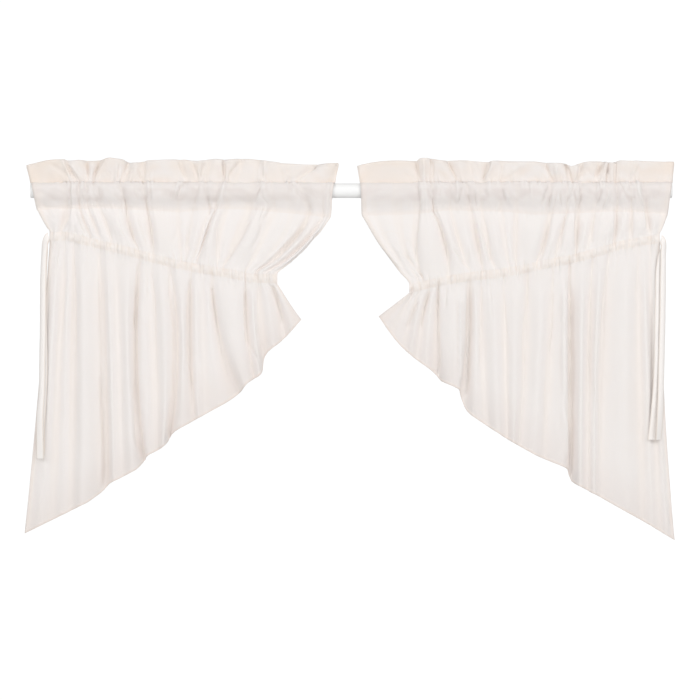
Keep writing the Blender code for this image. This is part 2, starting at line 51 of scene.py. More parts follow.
MM = 0.001
BODY = "root"

# Driving sizes of the cloth and the pole
POLE_DIAMETER = 35.0
POLE_LENGTH = 1542.0
SINGLE_THICKNESS = 0.7
DOUBLED_THICKNESS = 1.6
PANEL_WIDTH = 914.0
HEM_WIDTH = 6.5

# How the cloth sits round the pole
POLE_GAP = 0.4
SEAM_RADIUS = POLE_DIAMETER / 2 + POLE_GAP + 0.6
POCKET_RADIUS = SEAM_RADIUS + 1.6
POCKET_PUFF = 7.5
LAYER_GAP = 3.6
HEADER_LOFT = 2.4
FLAP_OVERLAP = 5.0

# How far the cloth stands forward of the pole's axis plane, level by level
POCKET_SEAM_FORWARD = 2.0
CHANNEL_FORWARD = 8.0
SWAG_BILLOW = 4.0
HEM_FORWARD = 5.0
CHANNEL_HALF_HEIGHT = 11.0
CHANNEL_PUFF = 2.5

# Fold heights: the share of a fold's width that it stands forward, and the most it may be
HEADER_FULLNESS = 0.16
HEADER_CREST = 9.0
SWAG_FULLNESS = 0.20
SWAG_CREST = 11.0
TAIL_FULLNESS = 0.26
TAIL_CREST = 13.0

# How much of those heights the thin cloth keeps, rounded over as it is
SWAG_KEPT = 0.85
TAIL_KEPT = 0.80

# How much of a fold's height is left where the cloth is drawn up, and how far along a zone it is whole again
HEADER_SEAM_SHARE = 0.18
HEADER_LOFTED = 0.6
SWAG_SEAM_SHARE = 0.5
SWAG_CHANNEL_SHARE = 0.45
SWAG_OPENED = 0.4
SWAG_CLOSING = 0.6
TAIL_CHANNEL_SHARE = 0.3
TAIL_OPENED = 0.25
TAIL_PLEATED = 0.4
LEAN_OPENED = 0.3
LEAN_CREST = 0.6
CREASE_REACH = (0.12, 0.60)
CREST_PLACE = (0.28, 0.72)
HEADER_SOFTNESS = 2.5
SWAG_SOFTNESS = 2.5
TAIL_SOFTNESS = 3.5
SWAG_KEENNESS = 0.3
TAIL_KEENNESS = 0.0
OUTLINE_SOFTNESS = 4.0

# Creases: their width, their lips' width and height as shares of their own, how soon they fade at an end,
# how much bolder they are at each height, and how much of them the layer behind shows
CREASE_WIDTH = 2.8
CREASE_LIP = 2.4
LIP_HEIGHT = 0.2
CREASE_FADE = 16.0
CREASE_GAINS = ((-400.0, 2.0), (-200.0, 1.9), (-80.0, 1.35), (0.0, 1.8), (45.0, 2.2))
BACK_SHARE = -0.9

# The pressed bottoms of the main folds: their depth as a share of the fold's, and how far they run
PRESSED_SHARES = {"seam": 0.10, "channel": 0.07}
HEADER_PRESSED_REACH = 60.0
SWAG_PRESSED_REACH = 400.0
TAIL_PRESSED_REACH = 190.0

# How far the stitching draws the cloth in along each seam, and how far to each side of it
SEAM_GROOVES = {"seam": 0.1, "pocket": 0.3, "upper": 0.5, "lower": 0.5}
SEAM_GROOVE_REACH = 2.2

# The turned hem: how proud it stands, how soon it drops, its stitching's groove, and the stitches' place
HEM_SWELL = 0.35
HEM_DROP = 1.5
HEM_GROOVE = 0.3
HEM_GROOVE_REACH = 1.3
HEM_STITCHED = 6.2

# The cloth's unevenness: the height of its swells, and their usual size across and down
SWELLS = ((0.9, (55.0, 120.0)), (0.35, (17.0, 60.0)), (0.16, (7.0, 16.0)))
SWELL_CELLS = 400
SWELL_MARGIN = 40.0

# The random seeds that a panel's own seed is added to
SWELL_SEED = 50
BLOTCH_SEED = 60
CLOUD_SEED = 61
MOTTLE_SEED = 62

# The mesh: columns across the cloth, and the distances in from an edge of the rows or columns of a hem
COLUMNS = 336
HEM_STEPS = (0.0, 2.2, 4.6, HEM_STITCHED, 7.4, 10.0)


class Side(Enum):
    """The end of the pole that a panel hangs on; the value is the sign of X."""

    LEFT = -1
    RIGHT = 1


class Mark(NamedTuple):
    """A point of an outline."""

    out: float
    height: float


class HeaderFold(NamedTuple):
    """A crease of the heading ruffle, at its top edge and at the seam on top of the pole."""

    top: float
    seam: float
    depth: float
    outer: float
    inner: float


class SwagFold(NamedTuple):
    """A crease of the pocket and swag: at the seam on the pole, the pocket's seam, midway, the channel."""

    top: float
    pocket: float
    middle: float
    channel: float
    depth: float
    outer: float
    inner: float


class TailFold(NamedTuple):
    """A crease of the tail, at the channel, midway and at the hem; lean pushes the fold beside it over."""

    channel: float
    middle: float
    hem: float
    depth: float
    hem_depth: float
    outer: float
    inner: float
    lean: float


class TapeMark(NamedTuple):
    """A point of a tape's centre line; slant and turn, in degrees, tip its width up and edge-on."""

    out: float
    height: float
    forward: float
    slant: float
    turn: float


class Panel(NamedTuple):
    """The outlines and folds of one panel, each table from its outer edge to its inner one."""

    side: Side
    top_edge: tuple[Mark, ...]
    pocket_seam: tuple[Mark, ...]
    channel: tuple[Mark, ...]
    hem: tuple[Mark, ...]
    header_folds: tuple[HeaderFold, ...]
    swag_folds: tuple[SwagFold, ...]
    tail_folds: tuple[TailFold, ...]

    def tail_width(self) -> float:
        """The width of the tail midway down it."""
        return self.tail_folds[0].middle - self.tail_folds[-1].middle


def listed(kind: Callable[..., tuple], *rows: tuple[object, ...]) -> tuple:
    """The rows of a table, each made into its own kind of named row."""
    return tuple(kind(*row) for row in rows)


# In the fold tables, depth is how far back a crease goes, and outer and inner are how far to each side of
# it the cloth has come halfway forward again. The first and last rows are the panel's side edges.

LEFT_PANEL = Panel(
    side=Side.LEFT,
    top_edge=listed(
        Mark,
        (781, 61), (753, 69), (723, 75), (689, 75), (680, 71), (651, 74), (621, 71), (600, 75), (584, 80),
        (555, 76), (541, 73), (538, 66), (507, 68), (493, 73), (399, 75), (368, 70), (354, 72), (346, 76),
        (327, 77), (301, 73), (267, 77), (231, 75), (195, 70), (159, 68), (116, 61), (75, 65), (33, 66),
    ),
    pocket_seam=listed(
        Mark,
        (757, -42), (603, -38), (483, -43), (411, -47), (327, -40), (243, -41), (123, -52), (49, -60),
    ),
    channel=listed(
        Mark,
        (724, -110), (681, -110), (603, -130), (543, -144), (483, -161), (423, -176), (363, -188),
        (303, -197), (243, -210), (178, -212),
    ),
    hem=listed(
        Mark,
        (785, -824), (693, -779), (633, -749), (597, -722), (582, -704), (543, -685), (517, -671),
        (501, -653), (483, -635), (453, -617), (441, -604), (435, -589), (423, -578), (375, -551),
        (315, -518), (285, -502), (267, -485), (249, -463), (225, -446), (215, -433), (214, -407),
        (205, -390), (171, -365), (141, -335), (120, -310),
    ),
    header_folds=listed(
        HeaderFold,
        (781, 771, 3, 20, 20), (685, 658, 8, 16, 10), (637, 632, 7, 10, 8), (603, 620, 11, 8, 6),
        (542, 557, 12, 4, 16), (500, 502, 8, 12, 8), (411, 394, 9, 14, 6), (385, 373, 7, 8, 8),
        (349, 359, 10, 8, 8), (306, 307, 8, 12, 6), (267, 288, 10, 8, 10), (217, 219, 6, 14, 12),
        (166, 154, 7, 14, 10), (80, 139, 10, 18, 12), (33, 39, 2, 16, 16),
    ),
    swag_folds=listed(
        SwagFold,
        (771, 757, 742, 724, 4, 20, 20), (675, 679, 685, 697, 14, 12, 6), (654, 656, 643, 627, 9, 8, 8),
        (637, 634, 620, 603, 6, 8, 8), (622, 608, 586, 574, 6, 12, 12), (557, 541, 531, 512, 14, 12, 6),
        (502, 490, 481, 476, 14, 10, 7), (394, 421, 416, 409, 8, 16, 12), (370, 382, 389, 398, 8, 8, 6),
        (359, 341, 357, 380, 8, 6, 6), (309, 324, 351, 372, 15, 6, 8), (290, 308, 324, 322, 8, 8, 10),
        (219, 238, 267, 307, 12, 12, 8), (195, 193, 221, 255, 8, 12, 10), (149, 142, 169, 243, 6, 10, 8),
        (138, 100, 147, 230, 16, 8, 8), (63, 68, 116, 206, 9, 10, 8), (39, 49, 100, 178, 4, 10, 10),
    ),
    tail_folds=listed(
        TailFold,
        (724, 751, 785, 3, 2, 20, 20, 0), (689, 704, 718, 8, 2, 14, 12, 0),
        (666, 668, 672, 12, 4, 12, 10, 0), (604, 595, 590, 19, 26, 22, 11, 0),
        (565, 555, 549, 3, 2, 14, 14, 0), (507, 518, 497, 21, 22, 14, 6, 4),
        (478, 469, 464, 7, 4, 10, 10, 0), (435, 418, 437, 16, 19, 13, 9, 0),
        (385, 389, 377, 17, 8, 10, 7, 0), (356, 352, 350, 3, 2, 12, 12, 0),
        (334, 316, 267, 19, 26, 12, 8, 0), (254, 251, 236, 18, 7, 7, 8, 0),
        (223, 222, 212, 11, 18, 8, 12, -4), (196, 169, 161, 15, 16, 12, 9, 0),
        (178, 151, 120, 3, 3, 12, 12, 0),
    ),
)

RIGHT_PANEL = Panel(
    side=Side.RIGHT,
    top_edge=listed(
        Mark,
        (777, 69), (717, 70), (645, 73), (632, 66), (614, 70), (597, 71), (556, 70), (542, 62), (525, 59),
        (515, 66), (477, 66), (441, 69), (393, 69), (357, 72), (333, 72), (321, 68), (285, 74), (237, 72),
        (213, 73), (184, 79), (165, 78), (158, 71), (117, 72), (69, 71), (33, 65), (13, 59),
    ),
    pocket_seam=listed(
        Mark,
        (761, -55), (717, -49), (633, -46), (525, -50), (441, -54), (381, -47), (237, -43), (146, -52),
        (25, -55),
    ),
    channel=listed(
        Mark,
        (741, -116), (687, -124), (645, -132), (579, -152), (525, -166), (477, -174), (417, -188),
        (357, -199), (297, -205), (237, -214), (189, -224), (140, -235),
    ),
    hem=listed(
        Mark,
        (777, -840), (711, -800), (657, -770), (597, -736), (537, -704), (526, -695), (524, -672),
        (495, -659), (441, -635), (381, -601), (333, -570), (279, -534), (266, -516), (262, -482),
        (216, -458), (201, -438), (153, -404), (117, -373), (87, -335), (66, -302),
    ),
    header_folds=listed(
        HeaderFold,
        (777, 773, 3, 20, 20), (637, 635, 9, 12, 6), (618, 613, 7, 6, 6), (605, 588, 10, 8, 12),
        (551, 546, 9, 8, 6), (513, 524, 10, 6, 8), (470, 479, 9, 10, 12), (359, 358, 5, 18, 14),
        (331, 314, 10, 6, 10), (287, 292, 8, 8, 10), (230, 256, 9, 14, 10), (190, 191, 8, 10, 7),
        (159, 163, 10, 7, 12), (13, 20, 3, 20, 20),
    ),
    swag_folds=listed(
        SwagFold,
        (772, 761, 752, 741, 4, 20, 20), (693, 707, 713, 717, 12, 8, 8), (667, 673, 671, 669, 9, 8, 8),
        (633, 638, 636, 631, 15, 8, 5), (592, 587, 578, 568, 9, 10, 8), (544, 543, 540, 540, 13, 8, 6),
        (520, 518, 503, 491, 8, 8, 8), (479, 476, 467, 447, 14, 7, 7), (398, 398, 395, 396, 10, 14, 12),
        (357, 358, 367, 379, 7, 10, 8), (314, 311, 321, 345, 8, 10, 8), (273, 285, 302, 316, 13, 9, 8),
        (242, 235, 254, 283, 8, 10, 8), (189, 197, 225, 235, 14, 7, 9), (161, 165, 155, 172, 15, 7, 8),
        (117, 112, 127, 162, 11, 8, 10), (50, 50, 93, 150, 7, 12, 8), (21, 25, 74, 140, 4, 12, 12),
    ),
    tail_folds=listed(
        TailFold,
        (741, 751, 777, 3, 2, 20, 20, 0), (718, 729, 745, 6, 2, 10, 10, 0),
        (688, 693, 698, 8, 3, 10, 12, 0), (621, 602, 600, 12, 2, 16, 14, 0),
        (580, 571, 568, 11, 3, 12, 14, 0), (524, 526, 526, 22, 23, 18, 7, 4),
        (483, 475, 463, 9, 3, 12, 12, 0), (423, 417, 402, 11, 3, 16, 14, 0),
        (364, 371, 376, 5, 2, 12, 12, 0), (311, 316, 326, 9, 5, 14, 12, 0),
        (284, 279, 263, 22, 24, 14, 5, 5), (211, 209, 213, 20, 22, 9, 12, 0),
        (187, 169, 158, 12, 7, 8, 9, 0), (163, 141, 128, 9, 5, 9, 9, 0), (150, 120, 92, 13, 8, 8, 6, 0),
        (140, 103, 66, 3, 3, 10, 10, 0),
    ),
)

LEFT_TIE_FRONT = listed(
    TapeMark,
    (726.6, -110, 10.1, 76, 0), (733, -120, 15, 50, 25), (738, -150, 16, 7, 34), (740, -200, 16, 2, 28),
    (741, -262, 16, 0, 28), (741, -330, 17, 0, 27), (742, -410, 20, 0, 26), (743, -480, 21, 0, 26),
    (747, -550, 22, 3, 26), (745, -644, 23, 0, 20),
)
LEFT_TIE_BACK = listed(
    TapeMark,
    (727.9, -112, 7.7, 76, 0), (734.5, -126, 9.6, 43, 22), (737, -152, 9, 8, 30), (739, -190, 10, 4, 20),
    (740, -240, 10, 2, 20), (740, -300, 11, 2, 19), (738, -355, 13.5, 2, 18), (737, -420, 15, 0, 17),
    (739, -490, 16, 0, 17), (743, -560, 16.5, 2, 17), (743, -632, 16.5, 0, 18),
)
RIGHT_TIE_FRONT = listed(
    TapeMark,
    (743.6, -116, 9.8, 76, 0), (749, -127, 15, 48, 25), (750, -160, 16, 6, 34), (749, -220, 17, 2, 28),
    (748, -290, 18, 0, 28), (746, -370, 20, 0, 27), (744, -440, 21.5, 0, 27), (742, -515, 22, 3, 32),
    (736, -599, 22, 0, 44),
)
RIGHT_TIE_BACK = listed(
    TapeMark,
    (744.8, -118, 7.4, 76, 0), (749.3, -132, 9.8, 42, 22), (744, -158, 11.8, 8, 30),
    (739, -198, 12.5, 3, 15), (738, -250, 13.5, 2, 15), (736, -330, 15.5, 0, 14), (735, -400, 17.5, 0, 13),
    (732, -470, 17.5, 0, 12), (727, -540, 16.5, -2, 10), (720.5, -599, 16, 0, 6),
)


class Level(NamedTuple):
    """A level of the cloth, and how many rows of mesh run from it to the next one down."""

    name: str
    place: float
    rows: int


LEVELS = listed(
    Level,
    ("flap", 0.0, 3),
    ("pocket_back", 115.0, 2), ("pocket_back", 75.0, 2), ("pocket_back", 35.0, 2),
    ("heading_back", 0.0, 3), ("heading_back", 0.50, 3), ("heading_back", 0.93, 2),
    ("heading_top", 1.0, 3),
    ("heading_front", 0.93, 4), ("heading_front", 0.66, 5), ("heading_front", 0.30, 4),
    ("heading_front", 0.0, 4),
    ("pocket_front", 35.0, 3), ("pocket_front", 75.0, 3), ("pocket_front", 115.0, 6),
    ("swag", 0.0, 10), ("swag", 0.14, 6), ("swag", 0.36, 6), ("swag", 0.60, 6), ("swag", 0.82, 6),
    ("swag", 1.0, 5),
    ("channel", 0.0, 5),
    ("tail", 0.0, 6), ("tail", 0.07, 7), ("tail", 0.18, 7), ("tail", 0.34, 7), ("tail", 0.52, 6),
    ("tail", 0.70, 6), ("tail", 0.86, 5), ("tail", 1.0, 0),
)
SEAM_LEVELS = {"seam_back": 4, "top": 7, "seam": 11, "pocket": 15, "upper": 20, "middle": 21, "lower": 22}


class Gathering(NamedTuple):
    """The small folds that one drawn-up seam makes, on each side of it."""

    level: str
    pitch: float
    height: float
    above: float
    below: float
    band: float
    groups: tuple[tuple[float, float], ...]
    between: float


LEFT_GROUPS = ((690, 610), (575, 470), (415, 325), (315, 265), (235, 180), (165, 125))
RIGHT_GROUPS = ((765, 640), (636, 575), (556, 500), (480, 330), (305, 250), (215, 140))


def eased(share: np.ndarray | float) -> np.ndarray:
    """Ease from 0 to 1.

    Args:
        share: How far along, below 0 before the start and above 1 past the end.

    Returns:
        The eased share.
    """
    held = np.clip(share, 0.0, 1.0)
    return held * held * (3.0 - 2.0 * held)


def column(table: Sequence[NamedTuple], name: str) -> np.ndarray:
    """One named column of a table."""
    return np.array([getattr(row, name) for row in table], dtype=float)


def soften(values: np.ndarray, reach: float) -> np.ndarray:
    """Round off the corners of a line of values.

    Args:
        values: A value for each column of the cloth, or rows of them.
        reach: The rounding, in columns.

    Returns:
        The rounded values.
    """
    if reach < 0.05:
        return values
    half = int(np.ceil(3 * reach))
    kernel = np.exp(-0.5 * (np.arange(-half, half + 1) / reach) ** 2)
    kernel /= kernel.sum()
    before = 2 * values[0] - values[half:0:-1]
    after = 2 * values[-1] - values[-2:-half - 2:-1]
    padded = np.concatenate((before, values, after))
    return np.convolve(padded, kernel, mode="valid")


def bend(upper: np.ndarray, middle: np.ndarray, lower: np.ndarray, down: float) -> np.ndarray:
    """The curve through three values at the top, the middle and the foot of a zone."""
    return (
        upper * (1 - down) * (1 - 2 * down)
        + middle * 4 * down * (1 - down)
        + lower * down * (2 * down - 1)
    )


def half_way_power(reach: float, span: float) -> float:
    """The exponent that brings an ease to its half way point at a given reach of a span."""
    return np.log(0.5) / np.log(np.clip(reach / span, *CREASE_REACH))


def crest_share(folds: Sequence[NamedTuple], index: int) -> float:
    """Where the fold between a crease and the next one has its crest."""
    reach = folds[index].inner
    return float(np.clip(reach / (reach + folds[index + 1].outer), *CREST_PLACE))


def beside(out: np.ndarray, forward: np.ndarray, gap: float) -> tuple[np.ndarray, np.ndarray]:
    """A line that runs beside another across the cloth.

    Args:
        out: Distances out along the line.
        forward: How far forward the line stands.
        gap: How far the new line lies in front, square to the first.

    Returns:
        The new line's distances out and forward.
    """
    along, towards = np.gradient(out), np.gradient(forward)
    length = np.hypot(along, towards)
    return out + gap * towards / length, forward - gap * along / length


@dataclass
class FoldTrain:
    """The creases of one zone and the rounded folds between them."""

    folds: tuple[NamedTuple, ...]
    shares: np.ndarray
    width: float
    fullness: float
    highest: float
    softness: float
    keenness: float

    def forward(self, across: np.ndarray, depths: np.ndarray) -> np.ndarray:
        """How far the folds stand forward of their zone's plane.

        Args:
            across: The shares across the cloth of the mesh's columns.
            depths: How far back each crease goes.

        Returns:
            A distance for each column.
        """
        forward = np.zeros_like(across)
        for index in range(len(self.folds) - 1):
            start, end = self.shares[index], self.shares[index + 1]
            top = start + (end - start) * crest_share(self.folds, index)
            crest = min(self.fullness * (end - start) * self.width, self.highest)
            for crease, reach, depth in (
                (start, self.folds[index].inner, depths[index]),
                (end, self.folds[index + 1].outer, depths[index + 1]),
            ):
                flank = (across - crease) / (top - crease)
                here = (flank >= 0.0) & (flank <= 1.0)
                power = half_way_power(reach, abs(top - crease) * self.width)
                climb = np.clip(flank, 0.0, 1.0) ** power
                rise = (1 - self.keenness) * eased(climb) + self.keenness * np.sin(np.pi / 2 * climb)
                forward = np.where(here, -depth + (crest + depth) * rise, forward)
        column_width = self.width * float(np.mean(np.diff(across)))
        return soften(forward, self.softness / column_width)


class Drape:
    """The folded surface of one panel, read level by level at shares across the cloth."""

    def __init__(self, panel: Panel, across: np.ndarray) -> None:
        """Set out the folds of a panel.

        Args:
            panel: The panel's outlines and folds.
            across: The shares across the cloth of the mesh's columns.
        """
        self.panel = panel
        self.across = across
        header, swag, tail = panel.header_folds, panel.swag_folds, panel.tail_folds
        channel = column(tail, "channel")
        self.edge, self.width = channel[0], channel[0] - channel[-1]
        self.swag_shares = (self.edge - column(swag, "channel")) / self.width
        self.tail_shares = (self.edge - channel) / self.width
        header_shares = np.interp(-column(header, "seam"), -column(swag, "top"), self.swag_shares)
        self.rounding = OUTLINE_SOFTNESS / (self.width * float(np.mean(np.diff(across))))
        self.header_train = FoldTrain(header, header_shares, abs(header[0].seam - header[-1].seam),
                                      HEADER_FULLNESS, HEADER_CREST, HEADER_SOFTNESS, SWAG_KEENNESS)
        self.swag_train = FoldTrain(swag, self.swag_shares, abs(swag[0].middle - swag[-1].middle),
                                    SWAG_FULLNESS, SWAG_CREST, SWAG_SOFTNESS, SWAG_KEENNESS)
        self.tail_train = FoldTrain(tail, self.tail_shares, abs(tail[0].middle - tail[-1].middle),
                                    TAIL_FULLNESS, TAIL_CREST, TAIL_SOFTNESS, TAIL_KEENNESS)
        self.header_relief = self.header_train.forward(across, column(header, "depth"))
        self.swag_relief = self.swag_train.forward(across, column(swag, "depth"))

    def height_on(self, line: Sequence[Mark], out: np.ndarray) -> np.ndarray:
        """The height of an outline at distances out from the middle."""
        return soften(np.interp(-out, -column(line, "out"), column(line, "height")), self.rounding)

    def spread(self, shares: np.ndarray, places: np.ndarray) -> np.ndarray:
        """Distances out between creases, for each column."""
        return soften(np.interp(self.across, shares, places), self.rounding)

    def seam_out(self) -> np.ndarray:
        """Distances out on the seam on top of the pole."""
        return self.spread(self.swag_shares, column(self.panel.swag_folds, "top"))

    def top_out(self) -> np.ndarray:
        """Distances out on the heading's top edge, which fans out from the seam."""
        folds = self.panel.header_folds
        return -np.interp(-self.seam_out(), -column(folds, "seam"), -column(folds, "top"))

    def heading(self, up: float, layer: int) -> tuple[np.ndarray, ...]:
        """A level of the heading.

        Args:
            up: The share of the way from the seam to the top edge.
            layer: 1 for the layer in front, -1 for the one behind, 0 for the edge between them.

        Returns:
            For each column, its distance out, forward and height.
        """
        share = HEADER_SEAM_SHARE + (1 - HEADER_SEAM_SHARE) * float(eased(up))
        middle = self.seam_out() + (self.top_out() - self.seam_out()) * up
        gap = LAYER_GAP + HEADER_LOFT * float(eased(up / HEADER_LOFTED))
        out, forward = beside(middle, self.header_relief * share, layer * gap / 2)
        seam_forward = self.header_relief * HEADER_SEAM_SHARE + layer * LAYER_GAP / 2
        seam = np.sqrt(SEAM_RADIUS**2 - seam_forward**2)
        height = seam + (self.height_on(self.panel.top_edge, self.top_out()) - seam) * up
        return out, forward, height

    def pocket_out(self, down: float) -> np.ndarray:
        """Distances out in the pocket, from the seam on the pole to the pocket's own seam."""
        pocket = self.spread(self.swag_shares, column(self.panel.swag_folds, "pocket"))
        return self.seam_out() + (pocket - self.seam_out()) * down

    def pocket(self, degrees: float, layer: int) -> tuple[np.ndarray, ...]:
        """A level of the pocket.

        Args:
            degrees: The angle round the pole from its top.
            layer: 1 for the layer in front of the pole, -1 for the one behind it.

        Returns:
            For each column, its distance out, forward and height.
        """
        angle = np.radians(degrees)
        swell = np.clip((self.swag_relief + SWAG_CREST) / (2 * SWAG_CREST), 0.0, 1.0)
        radius = POCKET_RADIUS + POCKET_PUFF * swell * np.sin(angle) ** 2
        return self.pocket_out(degrees / 180.0), layer * radius * np.sin(angle), radius * np.cos(angle)

    def swag(self, down: float) -> tuple[np.ndarray, ...]:
        """A level of the swag.

        Args:
            down: The share of the way from the pocket's seam to the channel.

        Returns:
            For each column, its distance out, forward and height.
        """
        folds = self.panel.swag_folds
        lines = bend(column(folds, "pocket"), column(folds, "middle"), column(folds, "channel"), down)
        pocket = self.height_on(self.panel.pocket_seam, self.pocket_out(1.0))
        channel = self.channel_height() + CHANNEL_HALF_HEIGHT
        opening = SWAG_SEAM_SHARE + (1 - SWAG_SEAM_SHARE) * float(eased(down / SWAG_OPENED))
        closing = (1 - SWAG_CHANNEL_SHARE) * float(eased((down - SWAG_CLOSING) / (1 - SWAG_CLOSING)))
        plane = POCKET_SEAM_FORWARD + (CHANNEL_FORWARD - POCKET_SEAM_FORWARD) * down
        plane = plane + SWAG_BILLOW * np.sin(np.pi * down)
        forward = plane + SWAG_KEPT * self.swag_relief * (opening - closing)
        return self.spread(self.swag_shares, lines), forward, pocket + (channel - pocket) * down

    def flap(self) -> tuple[np.ndarray, ...]:
        """The turned edge behind the pocket's seam."""
        out, forward, height = self.swag(0.0)
        return *beside(out, forward, -LAYER_GAP), height - FLAP_OVERLAP

    def channel_out(self) -> np.ndarray:
        """Distances out along the channel."""
        return self.edge - self.across * self.width

    def channel_height(self) -> np.ndarray:
        """Heights of the channel's middle line."""
        return self.height_on(self.panel.channel, self.channel_out())

    def channel(self) -> tuple[np.ndarray, ...]:
        """The middle of the channel, which stands a little proud."""
        forward = (self.swag(1.0)[1] + self.tail(0.0)[1]) / 2 + CHANNEL_PUFF
        return self.channel_out(), forward, self.channel_height()

    def lean(self) -> np.ndarray:
        """How far the pleats lean over the crease beside them.

        Returns:
            For each column, a shift outwards, or inwards where it is less than 0.
        """
        shift = np.zeros_like(self.across)
        folds, shares = self.panel.tail_folds, self.tail_shares
        for index, fold in enumerate(folds):
            if not fold.lean:
                continue
            step = 1 if fold.lean > 0 else -1
            near = min(index, index + step)
            top = shares[near] + (shares[near + 1] - shares[near]) * crest_share(folds, near)
            rise = (self.across - shares[index]) / (top - shares[index])
            fall = (shares[index + step] - self.across) / (shares[index + step] - top)
            shift += fold.lean * eased(rise / LEAN_CREST) * eased(fall) * (rise > 0) * (fall > 0)
        return shift

    def tail(self, down: float) -> tuple[np.ndarray, ...]:
        """A level of the tail.

        Args:
            down: The share of the way from the channel to the hem.

        Returns:
            For each column, its distance out, forward and height.
        """
        folds = self.panel.tail_folds
        lines = bend(column(folds, "channel"), column(folds, "middle"), column(folds, "hem"), down)
        out = self.spread(self.tail_shares, lines) + self.lean() * float(eased(down / LEAN_OPENED))
        depth, hem_depth = column(folds, "depth"), column(folds, "hem_depth")
        pleated = float(eased((down - TAIL_PLEATED) / (1 - TAIL_PLEATED)))
        relief = self.tail_train.forward(self.across, depth + (hem_depth - depth) * pleated)
        hems = np.interp(self.across, self.tail_shares, column(folds, "hem"))
        channel = self.channel_height() - CHANNEL_HALF_HEIGHT
        height = channel + (self.height_on(self.panel.hem, hems) - channel) * down
        share = TAIL_CHANNEL_SHARE + (1 - TAIL_CHANNEL_SHARE) * float(eased(down / TAIL_OPENED))
        plane = CHANNEL_FORWARD + (HEM_FORWARD - CHANNEL_FORWARD) * down
        return out, plane + TAIL_KEPT * relief * share, height

    def level(self, level: Level) -> np.ndarray:
        """The points of one level of the cloth.

        Args:
            level: The level to read.

        Returns:
            A row of points, each with its distance out, forward and height.
        """
        makers: dict[str, Callable[[float], tuple[np.ndarray, ...]]] = {
            "flap": lambda place: self.flap(),
            "pocket_back": lambda place: self.pocket(place, -1),
            "heading_back": lambda place: self.heading(place, -1),
            "heading_top": lambda place: self.heading(place, 0),
            "heading_front": lambda place: self.heading(place, 1),
            "pocket_front": lambda place: self.pocket(place, 1),
            "swag": self.swag,
            "channel": lambda place: self.channel(),
            "tail": self.tail,
        }
        return np.stack(makers[level.name](level.place), axis=-1)


def steady_slopes(values: np.ndarray, stations: np.ndarray) -> np.ndarray:
    """Slopes for a smooth curve through values that never swings past them.

    Args:
        values: Values at the stations, the stations along the first axis.
        stations: Rising distances.

    Returns:
        A slope for each value.
    """
    steps = np.diff(stations)[:, None, None]
    secants = np.diff(values, axis=0) / steps
    before, after = secants[:-1], secants[1:]
    wide = 2 * steps[1:] + steps[:-1], steps[1:] + 2 * steps[:-1]
    same_way = before * after > 0
    safe_before, safe_after = np.where(same_way, before, 1.0), np.where(same_way, after, 1.0)
    inner = np.where(same_way, (wide[0] + wide[1]) / (wide[0] / safe_before + wide[1] / safe_after), 0.0)
    return np.concatenate((secants[:1], inner, secants[-1:]))


def flow(values: np.ndarray, stations: np.ndarray, places: np.ndarray) -> np.ndarray:
    """The smooth surface through levels of points, read at any place down each column.

    Args:
        values: Levels of points.
        stations: The levels' distances down the cloth.
        places: For each row and column of the mesh, a distance down the cloth.

    Returns:
        Rows of points.
    """
    slopes = steady_slopes(values, stations)
    index = np.clip(np.searchsorted(stations, places, side="right") - 1, 0, len(stations) - 2)
    columns = np.arange(values.shape[1])[None, :]
    step = (stations[index + 1] - stations[index])[..., None]
    t = (places - stations[index])[..., None] / step
    start, end = values[index, columns], values[index + 1, columns]
    leave, arrive = slopes[index, columns] * step, slopes[index + 1, columns] * step
    return (
        start * (2 * t**3 - 3 * t**2 + 1)
        + leave * (t**3 - 2 * t**2 + t)
        + end * (3 * t**2 - 2 * t**3)
        + arrive * (t**3 - t**2)
    )


def drift(seed: int, first: np.ndarray, second: np.ndarray, cell: tuple[float, float]) -> np.ndarray:
    """Smooth random unevenness between -1 and 1.

    Args:
        seed: The random seed.
        first: Distances along one way of the cloth.
        second: Distances along the other.
        cell: The usual size of a swell each way.

    Returns:
        A value for each point.
    """
    grid = np.random.default_rng(seed).uniform(-1.0, 1.0, (SWELL_CELLS, SWELL_CELLS))
    a, b = first / cell[0] + SWELL_MARGIN, second / cell[1] + SWELL_MARGIN
    i, j = np.floor(a).astype(int), np.floor(b).astype(int)
    u, v = eased(a - i), eased(b - j)
    return (
        grid[i, j] * (1 - u) * (1 - v)
        + grid[i + 1, j] * u * (1 - v)
        + grid[i, j + 1] * (1 - u) * v
        + grid[i + 1, j + 1] * u * v
    )


def curve_point(points: np.ndarray, place: float) -> np.ndarray:
    """A point of the smooth curve that runs through a list of points.

    Args:
        points: The points, in rows.
        place: The place along the list, in steps from point to point.

    Returns:
        The point.
    """
    index = min(int(place), len(points) - 2)
    share = place - index
    before = points[max(index - 1, 0)]
    start, end = points[index], points[index + 1]
    after = points[min(index + 2, len(points) - 1)]
    return 0.5 * (
        2 * start
        + (end - before) * share
        + (2 * before - 5 * start + 4 * end - after) * share**2
        + (3 * start - before - 3 * end + after) * share**3
    )


class Crease(NamedTuple):
    """A crease or ridge: its height, less than 0 for a trough, its reach to each side, and its route."""

    height: float
    reach: float
    marks: tuple[tuple[float, float], ...]


def creases(*rows: tuple[object, ...]) -> tuple[Crease, ...]:
    """Creases from rows of a height, a reach and the marks of a route, each out and height."""
    return tuple(Crease(height, reach, tuple(marks)) for height, reach, *marks in rows)


def trough(gap: np.ndarray, reach: float) -> np.ndarray:
    """The section of a crease: 1 at its bottom, with a low lip on each side."""
    bottom = (1 + LIP_HEIGHT) * np.exp(-(gap / reach) ** 2)
    return bottom - LIP_HEIGHT * np.exp(-(gap / (CREASE_LIP * reach)) ** 2)


